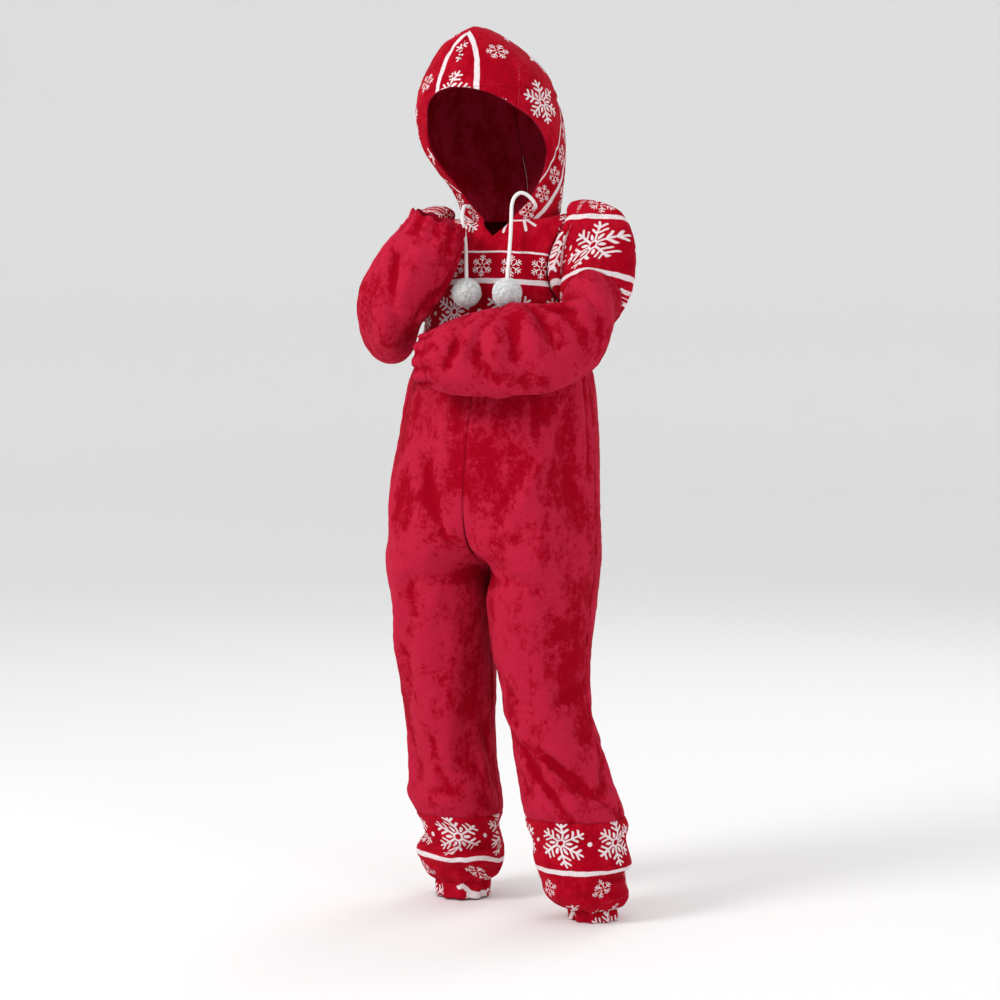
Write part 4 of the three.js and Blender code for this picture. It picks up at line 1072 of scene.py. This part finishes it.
def hood_grid(side):
    """a goes from the front edge to the back seam, b from the peak down to the neck."""
    def grid(a, b):
        share = V_SHARE + (2 - V_SHARE) * a
        seam = neck_level(share)
        z = HOOD_TOP + (seam - NECK_TUCK - HOOD_TOP) * b
        point = lambda p, q: hood_surface(side, p, q)
        inside = np.clip(a, 0.015, 0.985), np.minimum(z, HOOD_TOP - 0.8)
        outward = normals_of(point, *inside, 0.01, 0.6, SIDE[side])
        thick = CLOTH * 1000 * smoothstep(0, 12, z - seam)
        return point(a, z) + outward * thick[..., None], outward
    return grid


HOOD_COLUMNS, HOOD_ROWS = 110, 120
HOOD_CASING = 19
STRIPE_FROM_SEAM = 0.010
forehead_row = round((HOOD_TOP - FOREHEAD) / HOOD_TOP * HOOD_ROWS)
hood_print = fleece("printed fleece of the hood", shift=(0.0, STRIPES_APART - STRIPE_FROM_SEAM))
for side in SIDE:
    half = cloth_piece(f"hood_{side}_cloth", hood_print, "printed_fleece", f"hood_{side}", hood_grid(side),
                       HOOD_COLUMNS, HOOD_ROWS, seed=31 if side == "left" else 37, sewn=("right", "bottom"),
                       casing=("left", HOOD_CASING))
    lay_flat(half, HOOD_COLUMNS, (forehead_row, 0), (10, 0), (0, 0), (SIDE[side], 0))

# Studio
# A pale seamless floor that rises into a backdrop all round, under soft, even light.
SWEEP = [(0, 0), (4.2, 0), (5.2, 0.18), (5.9, 0.7), (6.3, 1.5), (6.5, 3.2)]     # radius and height, metres
ground = float(cad_box[0][2]) - 0.0005
sweep = bmesh.new()
corners = [sweep.verts.new((radius, 0, ground + height)) for radius, height in SWEEP]
profile = [sweep.edges.new(pair) for pair in zip(corners, corners[1:])]
bmesh.ops.spin(sweep, geom=corners + profile, cent=(0, 0, 0), axis=(0, 0, 1), angle=2 * math.pi, steps=64,
               use_merge=True)
bmesh.ops.remove_doubles(sweep, verts=sweep.verts, dist=1e-5)
bmesh.ops.recalc_face_normals(sweep, faces=sweep.faces)
bmesh.ops.reverse_faces(sweep, faces=sweep.faces)
mesh = bpy.data.meshes.new("floor")
sweep.to_mesh(mesh)
sweep.free()
mesh.shade_smooth()
floor = bpy.data.objects.new("floor", mesh)
bpy.context.collection.objects.link(floor)
paper = Finish("pale floor", Base_Color=(0.92, 0.92, 0.92, 1), Roughness=0.9)
mesh.materials.append(paper.material)

world = bpy.data.worlds.new("studio")
world.use_nodes = True
world.node_tree.nodes["Background"].inputs["Color"].default_value = (1, 1, 1, 1)
world.node_tree.nodes["Background"].inputs["Strength"].default_value = 0.72
bpy.context.scene.world = world

# place, size and power of each light
LIGHTS = {
    "key": ((-1.6, -2.2, 1.5), 1.2, 54),
    "fill": ((2.4, -1.6, 0.7), 1.8, 12),
    "back": ((0.4, 2.2, 1.6), 1.6, 16),
}
for name, (place, size, power) in LIGHTS.items():
    light = bpy.data.lights.new(name, "AREA")
    light.shape = "DISK"
    light.size = size
    light.energy = power
    lamp = bpy.data.objects.new(name, light)
    bpy.context.collection.objects.link(lamp)
    lamp.location = place
    lamp.rotation_euler = (Vector(place) - VIEW_TARGET).to_track_quat("Z", "Y").to_euler()

bpy.context.scene.view_settings.view_transform = "Standard"
